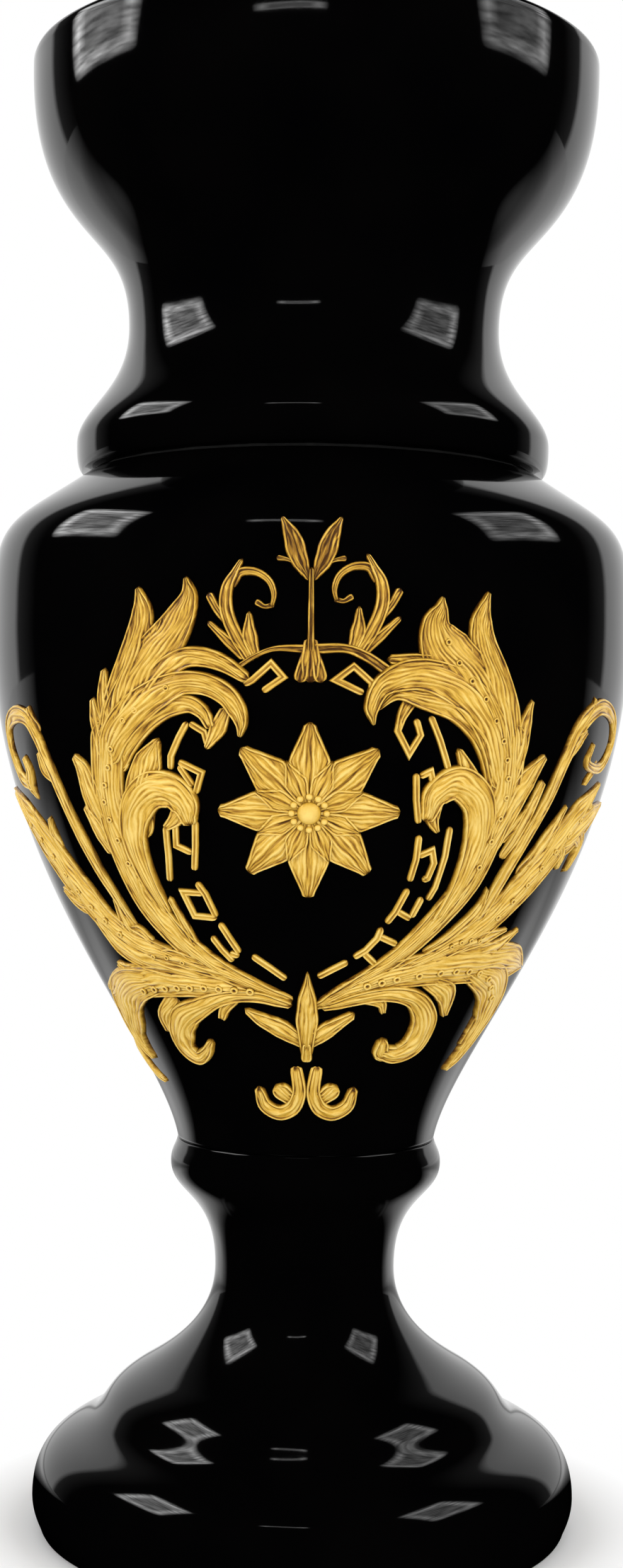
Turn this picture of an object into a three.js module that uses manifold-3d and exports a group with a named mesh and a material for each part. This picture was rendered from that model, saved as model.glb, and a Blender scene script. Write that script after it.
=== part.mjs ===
// A trophy vase in three glazed sections, bolted and seated on each other, with raised gilt ornament
import * as THREE from "three";
import { mergeVertices } from "three/addons/utils/BufferGeometryUtils.js";
import Module from "manifold-3d";

const wasm = await Module();
wasm.setup();

// Sizes are in millimetres, z is up from the table, and the front of the vase faces -y
const GAP = 0.3; // between pieces that touch
const BODY_STEPS = 40; // flats round the body, which carries the gold
const GIRTH_STEPS = 32; // flats round the other glazed sections
const SEAL_STEPS = 24; // flats round the wide seals
const SMALL_STEPS = 16; // flats round a washer or a bolt

// Pedestal: foot ring, dome, stem and knop
const PEDESTAL_H = 131;
const PEDESTAL_WALL = 7;
const FOOT_CONTACT_R = 89.8;
const FOOT_R = 92.5;
const FOOT_WIDEST_Z = 10.5;
const CREASE_R = 71.5;
const CREASE_Z = 37.5;
const DOME_R = 56.6;
const DOME_Z = 52.2;
const STEM_R = 30.8;
const STEM_Z = 87;
const KNOP_R = 46.4;
const KNOP_Z = 123;
const KNOP_TOP_R = 44.2;
const DECK_T = 7;

// Body
const BODY_H = 226;
const BODY_WALL = 7;
const BODY_FOOT_R = 44;
const BODY_R = 109.1;
const BODY_WIDEST_Z = 174.5;
const SHOULDER_R = 78;
const FLOOR_T = 10;
const MOUTH_LIP_T = 6;

// Neck section: collar, neck and cup
const NECK_H = 141;
const NECK_WALL = 6;
const COLLAR_UNDER_R = 79.3;
const COLLAR_R = 81.3;
const COLLAR_WIDEST_Z = 9.5;
const WAIST_R = 63.9;
const WAIST_Z = 50;
const RIM_R = 97.4;
const RIM_STRAIGHT_H = 4;
const RIM_ROUND = 1.6;
const SPIGOT_R = 65;
const SPIGOT_L = 12;
const SPIGOT_WALL = 7;
const SPIGOT_CLEARANCE = 0.8;

// Seals and fixings
const SEAT_GASKET_T = 1;
const SEAT_GASKET_R = 36;
const SEAT_RECESS_CLEARANCE = 1;
const NECK_SEAL_T = 1;
const NECK_SEAL_W = 8;
const NECK_SEAL_INSET = 2.5;
const BOLT_R = 4;
const BOLT_HEAD_R = 7.5;
const BOLT_HEAD_T = 5.3;
const NUT_T = 6.5;
const BOLT_STICK_OUT = 4;
const BOLT_HOLE_CLEARANCE = 1.2;
const GASKET_R = 15;
const GASKET_T = 1.2;
const WASHER_R = 12;
const WASHER_T = 1.6;

// Raised gold
const GOLD_GAP = 0.45; // under the gold, over the glaze
const GOLD_EDGE = 0.8; // height of its sides
const GOLD_CROWN = 1; // how much more its middle stands up
const GOLD_CROWN_RUN = 4; // from the edge to the full height
const GOLD_DIP = 0.31; // how far a straight stretch may dip towards the curved body
const OUTLINE_SLACK = 0.15; // what its outline may lose to shed small facets
const BODY_BOW_R = 170; // radius of the body's curve from foot to shoulder, about
const ROSETTE_Z = 112.5;
const ROSETTE_R = 27;
const PETALS = 8;
const KEY_CROWN = 0.3;
const KEY_STROKE = 2.3;
const KEY_CLEARANCE = 0.5;

// Where the sections stand
const BODY_Z = PEDESTAL_H + GAP;
const NECK_Z = BODY_Z + BODY_H + NECK_SEAL_T + 2 * GAP;
const BOLT_HOLE_R = BOLT_R + BOLT_HOLE_CLEARANCE;

const GLAZE = new THREE.MeshStandardMaterial({ color: 0x050506, roughness: 0.06, metalness: 0 });
const GOLD = new THREE.MeshStandardMaterial({ color: 0xd4af37, roughness: 0.32, metalness: 1 });
const RUBBER = new THREE.MeshStandardMaterial({ color: 0x1b1b1c, roughness: 0.8, metalness: 0 });
const STEEL = new THREE.MeshStandardMaterial({ color: 0x9a9da0, roughness: 0.4, metalness: 1 });

// Curves in the plane of radius and height

// A bend between two stations, with each handle placed by its shares of the way across and of the rise
function bend([r0, z0], [r1, z1], [across1, up1], [across2, up2], steps) {
  const at = (across, up) => new THREE.Vector2(r0 + across * (r1 - r0), z0 + up * (z1 - z0));
  const curve = new THREE.CubicBezierCurve(at(0, 0), at(across1, up1), at(across2, up2), at(1, 1));
  return curve.getPoints(steps);
}

// An S between two stations where the wall is upright, with the share of the rise that each end pulls
function sweep(from, to, pullFrom, pullTo, steps) {
  return bend(from, to, [0, pullFrom], [1, 1 - pullTo], steps);
}

function chain(...runs) {
  const points = runs.flat().map((p) => (p.isVector2 ? p : new THREE.Vector2(...p)));
  return points.filter((p, i) => i === 0 || p.distanceTo(points[i - 1]) > 0.01);
}

// The same curve moved inwards by the wall
function inset(points, wall) {
  return points.map((p, i) => {
    const before = points[Math.max(i - 1, 0)];
    const after = points[Math.min(i + 1, points.length - 1)];
    const along = after.clone().sub(before).normalize();
    return new THREE.Vector2(p.x - along.y * wall, p.y + along.x * wall);
  });
}

// Every second point of a wall's inner side, with its ends and its narrowest place
function thinned(points) {
  const last = points.length - 1;
  const narrowest = points.reduce((least, p) => (p.x < least.x ? p : least));
  return points.filter((p, i) => i % 2 === 0 || i === last || p === narrowest);
}

function turned(profile, steps = GIRTH_STEPS) {
  const closed = [...profile, profile[0].clone()];
  return new THREE.LatheGeometry(closed, steps).rotateX(Math.PI / 2);
}

function ring(innerR, outerR, z0, z1, steps = GIRTH_STEPS) {
  return turned(chain([[innerR, z0]], [[outerR, z0]], [[outerR, z1]], [[innerR, z1]]), steps);
}

// Solids joined and cut

function solid(geometry) {
  const plain = geometry.index ? geometry.toNonIndexed() : geometry.clone();
  plain.deleteAttribute("normal");
  plain.deleteAttribute("uv");
  const merged = mergeVertices(plain, 1e-4);
  const vertProperties = merged.attributes.position.array;
  const triVerts = new Uint32Array(merged.index.array);
  return new wasm.Manifold(new wasm.Mesh({ numProp: 3, vertProperties, triVerts }));
}

function joined(solids) {
  return solids.reduce((all, next) => all.add(next));
}

function geometryOf(shape) {
  const { numProp, vertProperties, triVerts } = shape.getMesh();
  const position = [];
  for (let i = 0; i < vertProperties.length; i += numProp) {
    position.push(vertProperties[i], vertProperties[i + 1], vertProperties[i + 2]);
  }
  const geometry = new THREE.BufferGeometry();
  geometry.setAttribute("position", new THREE.Float32BufferAttribute(position, 3));
  geometry.setIndex([...triVerts]);
  return geometry;
}

// Glazed sections

function pedestal() {
  const foot = [FOOT_R, FOOT_WIDEST_Z];
  const crease = [CREASE_R, CREASE_Z];
  const domeEnd = [DOME_R, DOME_Z];
  const stem = [STEM_R, STEM_Z];
  const knop = [KNOP_R, KNOP_Z];
  const roll = sweep([FOOT_CONTACT_R, 0], foot, 0.1, 0.5, 2);
  const torus = bend(foot, crease, [0, 0.76], [0.7, 0.75], 5);
  const dome = bend(crease, domeEnd, [0.32, 0.36], [0.27, 0.55], 4);
  const flare = bend(domeEnd, stem, [0.48, 0.21], [1, 0.5], 4);
  const swell = sweep(stem, knop, 0.7, 0.3, 5);
  const cap = bend(knop, [KNOP_TOP_R, PEDESTAL_H], [0, 0.5], [0.73, 0.63], 2);
  const outer = chain(roll, torus, dome, flare, swell, cap);
  const deckUnder = PEDESTAL_H - DECK_T;
  const under = PEDESTAL_WALL;
  const wall = thinned(inset(outer, under).filter((p) => p.y > under && p.y < deckUnder - 2));
  const inner = chain([[BOLT_HOLE_R, PEDESTAL_H]], [[BOLT_HOLE_R, deckUnder]],
    [[KNOP_R - 2 * under, deckUnder]], wall.reverse(), [[FOOT_CONTACT_R - under, 0]]);
  return turned(chain(outer, inner));
}

const belly = [BODY_R, BODY_WIDEST_Z];
const lowerBody = bend([BODY_FOOT_R, 0], belly, [0.1, 0.19], [1, 0.52], 10);
const upperBody = bend(belly, [SHOULDER_R, BODY_H], [0, 0.72], [0.12, 0.62], 6);
const bodyCurve = chain(lowerBody, upperBody);

function body() {
  const mouthR = SPIGOT_R + SPIGOT_CLEARANCE;
  const recessR = SEAT_GASKET_R + SEAT_RECESS_CLEARANCE;
  const recess = SEAT_GASKET_T + GAP;
  const wall = inset(bodyCurve, BODY_WALL);
  const cavity = thinned(wall.filter((p) => p.y > FLOOR_T + 2 && p.y < BODY_H - MOUTH_LIP_T - 1));
  const inner = chain([[mouthR, BODY_H]], [[mouthR, BODY_H - MOUTH_LIP_T]], cavity.reverse(),
    [[BODY_FOOT_R - BODY_WALL - 4, FLOOR_T]], [[BOLT_HOLE_R, FLOOR_T]],
    [[BOLT_HOLE_R, recess]], [[recessR, recess]], [[recessR, 0]]);
  return turned(chain(bodyCurve, inner), BODY_STEPS);
}

function neckBowl() {
  const collar = bend([COLLAR_UNDER_R, 0], [COLLAR_R, COLLAR_WIDEST_Z], [0.7, 0.1], [1, 0.37], 3);
  const waist = sweep([COLLAR_R, COLLAR_WIDEST_Z], [WAIST_R, WAIST_Z], 0.27, 0.56, 5);
  const cup = sweep([WAIST_R, WAIST_Z], [RIM_R, NECK_H - RIM_STRAIGHT_H], 0.46, 0.66, 7);
  const lip = [[RIM_R, NECK_H - RIM_ROUND], [RIM_R - RIM_ROUND, NECK_H],
    [RIM_R - NECK_WALL + RIM_ROUND, NECK_H]];
  const outer = chain(collar, waist, cup);
  const lining = thinned(inset(outer, NECK_WALL).filter((p) => p.y > COLLAR_WIDEST_Z + 1)).reverse();
  const boreR = SPIGOT_R - SPIGOT_WALL;
  const spigot = [[boreR, 2], [boreR, -SPIGOT_L], [SPIGOT_R, -SPIGOT_L], [SPIGOT_R, 0]];
  return turned(chain(outer, lip, lining, [[COLLAR_R - 2 * NECK_WALL, COLLAR_WIDEST_Z - 1]], spigot));
}

// Seals and fixings

function hexagon(radius, z0, z1) {
  return turned(chain([[0, z0]], [[radius, z0]], [[radius, z1]], [[0, z1]]), 6);
}

function fixings() {
  const deckUnder = PEDESTAL_H - DECK_T;
  const deckGasketZ = deckUnder - GAP - GASKET_T;
  const deckWasherZ = deckGasketZ - GAP - WASHER_T;
  const nutZ = deckWasherZ - GAP - NUT_T;
  const bodyGasketZ = BODY_Z + FLOOR_T + GAP;
  const bodyWasherZ = bodyGasketZ + GASKET_T + GAP;
  const headZ = bodyWasherZ + WASHER_T + GAP;
  const boltFoot = nutZ - BOLT_STICK_OUT;
  const loose = BOLT_R + GAP;
  const head = solid(hexagon(BOLT_HEAD_R, headZ, headZ + BOLT_HEAD_T));
  const shank = turned(chain([[0, boltFoot]], [[BOLT_R, boltFoot]], [[BOLT_R, headZ + 1]],
    [[0, headZ + 1]]), SMALL_STEPS);
  const nut = solid(hexagon(BOLT_HEAD_R, nutZ, nutZ + NUT_T));
  const nutBore = solid(turned(chain([[0, nutZ - 1]], [[loose, nutZ - 1]], [[loose, nutZ + NUT_T + 1]],
    [[0, nutZ + NUT_T + 1]]), SMALL_STEPS));
  const seal = SHOULDER_R - NECK_SEAL_INSET;
  const sealZ = BODY_Z + BODY_H + GAP;
  return [
    ["clamp_bolt", geometryOf(head.add(solid(shank))), STEEL],
    ["clamp_nut", geometryOf(nut.subtract(nutBore)), STEEL],
    ["body_washer", ring(loose, WASHER_R, bodyWasherZ, bodyWasherZ + WASHER_T, SMALL_STEPS), STEEL],
    ["body_gasket", ring(loose, GASKET_R, bodyGasketZ, bodyGasketZ + GASKET_T, SMALL_STEPS), RUBBER],
    ["deck_washer", ring(loose, WASHER_R, deckWasherZ, deckWasherZ + WASHER_T, SMALL_STEPS), STEEL],
    ["deck_gasket", ring(loose, GASKET_R, deckGasketZ, deckGasketZ + GASKET_T, SMALL_STEPS), RUBBER],
    ["seat_gasket", ring(BOLT_HOLE_R + 4, SEAT_GASKET_R, BODY_Z, BODY_Z + SEAT_GASKET_T, SEAL_STEPS), RUBBER],
    ["neck_seal", ring(seal - NECK_SEAL_W, seal, sealZ, sealZ + NECK_SEAL_T, SEAL_STEPS), RUBBER],
  ];
}

// Raised gold: drawn flat in degrees round the body and hundredths of its height, then laid on it
const HUNDREDTH = BODY_H / 100;

// Radius, and the outward direction, of the body at a height
function bodyAt(height) {
  const last = bodyCurve.length - 2;
  let i = bodyCurve.findIndex((p, k) => k <= last && bodyCurve[k + 1].y >= height);
  if (i < 0) i = last;
  const low = bodyCurve[i];
  const high = bodyCurve[i + 1];
  const along = high.clone().sub(low);
  const share = (height - low.y) / along.y;
  const radius = low.x + along.x * share;
  along.normalize();
  return { radius, out: along.y, up: -along.x, perHeight: 1 / along.y };
}

function perDegree(height) {
  return THREE.MathUtils.degToRad(bodyAt(height).radius);
}

function onBody(degrees, height, lift) {
  const { radius, out, up } = bodyAt(height);
  const r = radius + lift * out;
  const angle = THREE.MathUtils.degToRad(degrees);
  return new THREE.Vector3(r * Math.sin(angle), -r * Math.cos(angle), height + lift * up);
}

function widthAt(widths, share) {
  const place = share * (widths.length - 1);
  const i = Math.min(Math.floor(place), widths.length - 2);
  return THREE.MathUtils.lerp(widths[i], widths[i + 1], place - i);
}

// A blade or stroke along a path of [degrees, hundredths], with its widths in hundredths from root to tip
function blade({ path, width, steps = path.length }, grow = 0) {
  const spine = new THREE.CatmullRomCurve3(path.map(([a, h]) => new THREE.Vector3(a, h * HUNDREDTH, 0)));
  const right = [];
  const left = [];
  for (let i = 0; i <= steps; i += 1) {
    const share = i / steps;
    const p = spine.getPoint(share);
    const t = spine.getTangent(share);
    const across = perDegree(p.y);
    const upward = bodyAt(p.y).perHeight;
    const true2 = new THREE.Vector2(t.x * across, t.y * upward).normalize();
    const half = (widthAt(width, share) * HUNDREDTH) / 2 + grow;
    const end = i === 0 ? -grow : i === steps ? grow : 0;
    const x = p.x + (true2.x * end) / across;
    const y = p.y + (true2.y * end) / upward;
    right.push(new THREE.Vector2(x + (true2.y * half) / across, y - (true2.x * half) / upward));
    left.push(new THREE.Vector2(x - (true2.y * half) / across, y + (true2.x * half) / upward));
  }
  const tip = (widthAt(width, 1) * HUNDREDTH) / 2 + grow < 0.05;
  if (tip) left.pop();
  const outline = new THREE.Shape([...right, ...left.reverse()]);
  return solid(new THREE.ExtrudeGeometry(outline, { depth: 1, bevelEnabled: false }));
}

function flat(blades, grow = 0) {
  return joined(blades.map((one) => blade(one, grow)));
}

function mirrored(blades) {
  return blades.map((one) => ({ ...one, path: one.path.map(([a, h]) => [-a, h]) }));
}

// The flat outline's triangles, with every edge that would cut into the round body split in two
function patch(flatSolid) {
  const { numProp, vertProperties, triVerts } = flatSolid.simplify(OUTLINE_SLACK).getMesh();
  const point = (i) => [...vertProperties.slice(i * numProp, i * numProp + 3)];
  const points = [];
  const index = new Map();
  const place = (i) => {
    if (!index.has(i)) index.set(i, points.push(point(i)) - 1);
    return index.get(i);
  };
  let faces = [];
  for (let i = 0; i < triVerts.length; i += 3) {
    const corners = [triVerts[i], triVerts[i + 1], triVerts[i + 2]];
    if (corners.every((c) => point(c)[2] > 0.5)) faces.push(corners.map(place));
  }
  const dip = (a, b) => {
    const { radius, perHeight } = bodyAt((points[a][1] + points[b][1]) / 2);
    const round = THREE.MathUtils.degToRad(points[a][0] - points[b][0]) * radius;
    const up = (points[a][1] - points[b][1]) * perHeight;
    return round ** 2 / (8 * radius) + up ** 2 / (8 * BODY_BOW_R);
  };
  for (let pass = 0; pass < 6; pass += 1) {
    const halves = new Map();
    const half = (a, b) => {
      if (dip(a, b) <= GOLD_DIP) return null;
      const key = Math.min(a, b) + ":" + Math.max(a, b);
      if (!halves.has(key)) {
        const middle = points[a].map((v, k) => (v + points[b][k]) / 2);
        halves.set(key, points.push(middle) - 1);
      }
      return halves.get(key);
    };
    faces = faces.flatMap((face) => splitFace(face, half, dip));
    if (halves.size === 0) break;
  }
  return { points, faces };
}

// One triangle cut at the middles of its long edges
function splitFace([a, b, c], half, dip) {
  const middles = [half(a, b), half(b, c), half(c, a)];
  const count = middles.filter((m) => m !== null).length;
  if (count === 0) return [[a, b, c]];
  if (count === 3) {
    const [ab, bc, ca] = middles;
    return [[a, ab, ca], [ab, b, bc], [ca, bc, c], [ab, bc, ca]];
  }
  if (count === 1) {
    const k = middles.findIndex((m) => m !== null);
    const [p, q, r] = [[a, b, c], [b, c, a], [c, a, b]][k];
    return [[p, middles[k], r], [middles[k], q, r]];
  }
  const whole = middles.findIndex((m) => m === null);
  const [p, q, r] = [[a, b, c], [b, c, a], [c, a, b]][whole];
  const qr = middles[(whole + 1) % 3];
  const rp = middles[(whole + 2) % 3];
  const corner = [rp, qr, r];
  return dip(p, qr) < dip(q, rp)
    ? [corner, [p, q, qr], [p, qr, rp]]
    : [corner, [p, q, rp], [q, qr, rp]];
}

// A raised piece: the flat outline laid on the body, with a crowned top, upright sides and a back
function raised(flatSolid, crown = GOLD_CROWN) {
  const { points, faces } = patch(flatSolid);
  const directed = new Set(faces.flatMap(([a, b, c]) => [a + ":" + b, b + ":" + c, c + ":" + a]));
  const rim = [...directed].map((key) => key.split(":").map(Number));
  const border = rim.filter(([a, b]) => !directed.has(b + ":" + a));
  const toBorder = ([x, y]) => {
    const across = perDegree(y);
    const gaps = border.map(([a, b]) => {
      const from = new THREE.Vector3(points[a][0] * across, points[a][1], 0);
      const to = new THREE.Vector3(points[b][0] * across, points[b][1], 0);
      const here = new THREE.Vector3(x * across, y, 0);
      return new THREE.Line3(from, to).closestPointToPoint(here, true, new THREE.Vector3())
        .distanceTo(here);
    });
    return Math.min(...gaps);
  };
  const top = points.map((p) => {
    const share = Math.min(toBorder(p) / GOLD_CROWN_RUN, 1);
    return onBody(p[0], p[1], GOLD_GAP + GOLD_EDGE + crown * share);
  });
  const back = points.map((p) => onBody(p[0], p[1], GOLD_GAP));
  const n = points.length;
  const index = faces.flatMap(([a, b, c]) => [a, b, c, n + a, n + c, n + b]);
  for (const [a, b] of border) index.push(a, n + a, n + b, a, n + b, b);
  const geometry = new THREE.BufferGeometry();
  geometry.setFromPoints([...top, ...back]);
  geometry.setIndex(index);
  return geometry;
}

// Right half of the wreath, rooted under the ring and rising round it
const WREATH = [
  { path: [[6.6, 22.3], [18, 26.3], [27, 31.9], [33, 40.3], [34.5, 49.1], [33, 57.1]],
    width: [2.2, 4, 5.8, 8, 7.1, 5.8] },
  // upper acanthus: two upright tips, the band that meets the ring, the drooping tip and side fingers
  { path: [[33, 55.3], [34, 66.8], [28.8, 79.4]], width: [5.3, 6.6, 0] },
  { path: [[32, 56.6], [27, 68.6], [20.3, 80.4]], width: [4.9, 5.8, 0] },
  { path: [[31, 59.3], [24, 66.6], [17.5, 69], [11.8, 68.1]], width: [4.4, 5.3, 3.5, 1.8] },
  { path: [[32, 58], [24.5, 63.3], [16.5, 64.6], [11.2, 60]], width: [4.4, 4.9, 4, 0] },
  { path: [[34.5, 54], [37, 61.5], [35.5, 69]], width: [3.5, 2.4, 0] },
  { path: [[34, 41.6], [40.5, 49.6], [45.2, 57.3]], width: [4.4, 3.1, 0] },
  // inner acanthus with its curled head and its upright tip
  { path: [[29, 35], [29.5, 45.1], [26, 52.7], [22.3, 52.9], [21.4, 49.6]], width: [4, 5.3, 4.4, 3.1, 2.2] },
  { path: [[31, 40.7], [30, 50.4], [26.5, 59.1]], width: [3.5, 3.5, 0] },
  // side plume and its lower finger
  { path: [[27, 26.5], [40, 30.1], [53, 35.8], [65, 43.4], [76.5, 51.8]], width: [2.7, 5.8, 8.8, 7.5, 0] },
  { path: [[48, 32.7], [62, 35.8], [75, 42]], width: [5.3, 4.4, 0] },
  // tendril with its scroll
  { path: [[42, 32.7], [46.8, 40.7], [50.5, 50.4], [56, 60.6], [63.5, 65.3], [71, 62.8], [73, 57.5],
    [68, 53.8], [63, 55.8]], width: [2.2, 2, 2.2, 2.7, 2.7, 2.2, 2, 2.2, 1.3], steps: 12 },
  // lower spray: its stem, hanging plume, upper finger and hooked leaf
  { path: [[6, 22.1], [17, 25.4], [30, 26.1], [45, 25.9], [58, 25.2]], width: [1.8, 3.5, 4.9, 6.6, 8] },
  { path: [[50, 25.7], [61, 22.6], [66.5, 16.4], [63.8, 10.2]], width: [6.2, 6.2, 4, 0] },
  { path: [[50, 26.1], [61, 27.9], [71, 26.5]], width: [5.3, 4, 0] },
  { path: [[24, 25.7], [33.5, 23.9], [40.5, 19.5], [38, 15], [29, 15.9]], width: [3.1, 5.3, 5.3, 4, 2.2] },
];

const TOP_SCROLL = [
  { path: [[8.8, 69.2], [14, 73.7], [16, 78.8], [12.8, 82.9], [8.7, 83.2], [5.8, 80.8], [6.2, 77]],
    width: [1.5, 2.2, 2.2, 2, 1.6, 1.4, 1.3], steps: 12 },
  { path: [[8.9, 69.7], [11, 73.5], [9.5, 77.2]], width: [1.8, 2.9, 0] },
  { path: [[15, 75.2], [17.4, 77.9], [17.3, 80.3]], width: [1.8, 1.5, 1.2] },
];

const DROP_SCROLL = [
  { path: [[3.9, 13.5], [4.6, 9.1], [10.4, 6.4], [17, 8], [18.2, 10.6]], width: [2.2, 2.9, 3.1, 2.2, 1.6] },
  { path: [[10, 7.5], [9.2, 9.7], [11.2, 11.5]], width: [1.8, 1.8, 1.1] },
];

const HALF_BUD = [
  { path: [[0, 80.1], [3, 84.1], [4.6, 88.7]], width: [1.3, 2.9, 0] },
  { path: [[0, 79.6], [2.8, 81.2], [5.3, 83]], width: [1.2, 1.2, 0] },
];
const FINIAL = [
  ...HALF_BUD,
  ...mirrored(HALF_BUD),
  { path: [[0, 70.4], [0, 81.4]], width: [1.2, 1.2], steps: 2 },
  { path: [[0, 71.2], [0, 69], [0, 66.6]], width: [1.3, 3.5, 4.2], steps: 2 },
];

const HALF_TREFOIL = [{ path: [[0, 16.4], [5.5, 18.6], [12, 21.2]], width: [1.8, 2.7, 0] }];
const TREFOIL = [
  ...HALF_TREFOIL,
  ...mirrored(HALF_TREFOIL),
  { path: [[0, 15.9], [0, 21.7], [0, 27.4]], width: [1.8, 3.8, 0] },
  { path: [[0, 14.6], [0, 16.8]], width: [2.2, 1.8], steps: 2 },
];

// Right half of the broken meander ring, one line for each piece
const KEYS = [
  [[10.3, 66.8], [6.3, 69.6], [3.9, 67.1], [7.6, 65.4]],
  [[18.2, 56.6], [18.4, 49.6], [19.2, 43.4]],
  [[23.6, 46.2], [23.3, 43.6], [21.4, 43.8], [21.6, 40.7]],
  [[21.2, 39.1], [18.8, 35], [22.2, 34.7], [23.6, 37.7], [21.8, 38]],
  [[22.6, 33.6], [20.4, 31.8]],
  [[18.9, 33.5], [15, 30.4], [17.2, 29.1], [19.4, 31.2]],
  [[12.4, 30.1], [4.8, 27]],
];

// A line of even width with mitred corners
function stroke(line, width) {
  const across = perDegree(line[0][1] * HUNDREDTH);
  const upward = bodyAt(line[0][1] * HUNDREDTH).perHeight;
  const at = line.map(([a, h]) => new THREE.Vector2(a * across, h * HUNDREDTH * upward));
  const heading = at.slice(1).map((p, i) => p.clone().sub(at[i]).normalize());
  const sides = at.map((p, i) => {
    const before = heading[Math.max(i - 1, 0)];
    const after = heading[Math.min(i, heading.length - 1)];
    const mean = before.clone().add(after).normalize();
    const reach = width / 2 / Math.max(mean.dot(after), 0.5);
    return [new THREE.Vector2(p.x + mean.y * reach, p.y - mean.x * reach),
      new THREE.Vector2(p.x - mean.y * reach, p.y + mean.x * reach)];
  });
  const loop = [...sides.map(([right]) => right), ...sides.map(([, left]) => left).reverse()];
  const outline = new THREE.Shape(loop.map((p) => new THREE.Vector2(p.x / across, p.y / upward)));
  return solid(new THREE.ExtrudeGeometry(outline, { depth: 1, bevelEnabled: false }));
}

// A piece of the meander ring, cut back from its neighbours, with any crumb of the cut left out
function keyPiece(line, neighbours) {
  const parts = stroke(line, KEY_STROKE).subtract(neighbours).decompose();
  return parts.sort((a, b) => b.volume() - a.volume())[0];
}

// A small round in the flat drawing
function dot([degrees, hundredths], size, sides) {
  const height = hundredths * HUNDREDTH;
  const radius = size * HUNDREDTH;
  const across = perDegree(height);
  const corner = (i) => {
    const turn = (2 * Math.PI * i) / sides;
    return new THREE.Vector2(degrees + (radius * Math.cos(turn)) / across, height + radius * Math.sin(turn));
  };
  const outline = new THREE.Shape(Array.from({ length: sides }, (_, i) => corner(i)));
  return solid(new THREE.ExtrudeGeometry(outline, { depth: 1, bevelEnabled: false }));
}

// Flower in the middle of the ring
function rosette() {
  const middle = ROSETTE_Z / HUNDREDTH;
  const size = ROSETTE_R / HUNDREDTH;
  const across = perDegree(ROSETTE_Z) / HUNDREDTH;
  const petals = Array.from({ length: PETALS }, (_, i) => {
    const turn = (2 * Math.PI * i) / PETALS;
    const at = (r) => [(r * Math.sin(turn)) / across, middle + r * Math.cos(turn)];
    const reach = [at(0.07 * size), at(0.6 * size), at(size)];
    return blade({ path: reach, width: [0.18 * size, 0.5 * size, 0.22 * size], steps: 2 });
  });
  return joined([dot([0, middle], size / 4, PETALS), ...petals]);
}

function ornament(face) {
  const pieces = [];
  const add = (name, shape, crown) => pieces.push([face + "_" + name, raised(shape, crown), GOLD]);
  add("finial", flat(FINIAL));
  add("trefoil", flat(TREFOIL));
  add("rosette", rosette(), 2 * GOLD_CROWN);
  const trefoilRoom = flat(TREFOIL, KEY_CLEARANCE);
  for (const [side, turn] of [["right", (list) => list], ["left", mirrored]]) {
    const wreath = turn(WREATH);
    const room = flat(wreath, KEY_CLEARANCE).add(trefoilRoom).add(flat(FINIAL, KEY_CLEARANCE));
    add("wreath_" + side, flat(wreath).subtract(trefoilRoom));
    add("top_scroll_" + side, flat(turn(TOP_SCROLL)).subtract(flat(wreath, KEY_CLEARANCE)));
    add("drop_scroll_" + side, flat(turn(DROP_SCROLL)));
    const sign = side === "right" ? 1 : -1;
    KEYS.forEach((line, i) => {
      const placed = line.map(([a, h]) => [sign * a, h]);
      add("key_" + side + "_" + (i + 1), keyPiece(placed, room), KEY_CROWN);
    });
  }
  return pieces;
}

// The assembly

function meshes(list, parent) {
  for (const [name, geometry, material] of list) {
    const mesh = new THREE.Mesh(geometry, material);
    mesh.name = name;
    parent.add(mesh);
  }
}

const vase = new THREE.Group();
meshes([["foot_pedestal", pedestal(), GLAZE], ...fixings()], vase);

const bodyGroup = new THREE.Group();
bodyGroup.position.z = BODY_Z;
meshes([["body", body(), GLAZE]], bodyGroup);
meshes(ornament("front"), bodyGroup);
const backGroup = new THREE.Group();
backGroup.rotation.z = Math.PI;
meshes(ornament("back"), backGroup);
bodyGroup.add(backGroup);
vase.add(bodyGroup);

const neckGroup = new THREE.Group();
neckGroup.position.z = NECK_Z;
meshes([["neck_bowl", neckBowl(), GLAZE]], neckGroup);
vase.add(neckGroup);

export default vase;
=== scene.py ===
"""A black glazed trophy vase with raised gilt ornament, dressed over its CAD frame for a studio picture."""

import math

import bmesh
import bpy
from mathutils import Euler, Matrix, Quaternion, Vector
from mathutils.kdtree import KDTree


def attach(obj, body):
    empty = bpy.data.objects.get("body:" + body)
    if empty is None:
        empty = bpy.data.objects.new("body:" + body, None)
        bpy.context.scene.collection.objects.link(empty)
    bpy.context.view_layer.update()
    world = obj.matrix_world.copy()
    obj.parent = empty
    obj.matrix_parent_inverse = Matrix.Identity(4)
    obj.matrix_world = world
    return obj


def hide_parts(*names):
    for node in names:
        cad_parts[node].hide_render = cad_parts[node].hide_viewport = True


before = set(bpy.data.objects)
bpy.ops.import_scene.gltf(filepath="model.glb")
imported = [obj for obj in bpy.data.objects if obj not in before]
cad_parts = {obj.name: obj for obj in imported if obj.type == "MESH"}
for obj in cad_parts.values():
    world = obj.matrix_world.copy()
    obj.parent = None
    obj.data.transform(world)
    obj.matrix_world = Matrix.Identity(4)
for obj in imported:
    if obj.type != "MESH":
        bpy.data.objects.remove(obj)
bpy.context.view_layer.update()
scene = bpy.context.scene

MM = 0.001
BODY_Z = 131.3
BODY_H = 226
NECK_Z = 358.9
HUNDREDTH = BODY_H / 100
GIRTH = 256  # flats round a glazed section

# Picture

SENSOR_WIDTH = 36
LENS = 49.96
CAMERA_DISTANCE = 0.7533
CAMERA_HEIGHT = 0.2469
PITCH = math.radians(0.447)
YAW = math.radians(0.056)
ROLL = math.radians(0.59)


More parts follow.
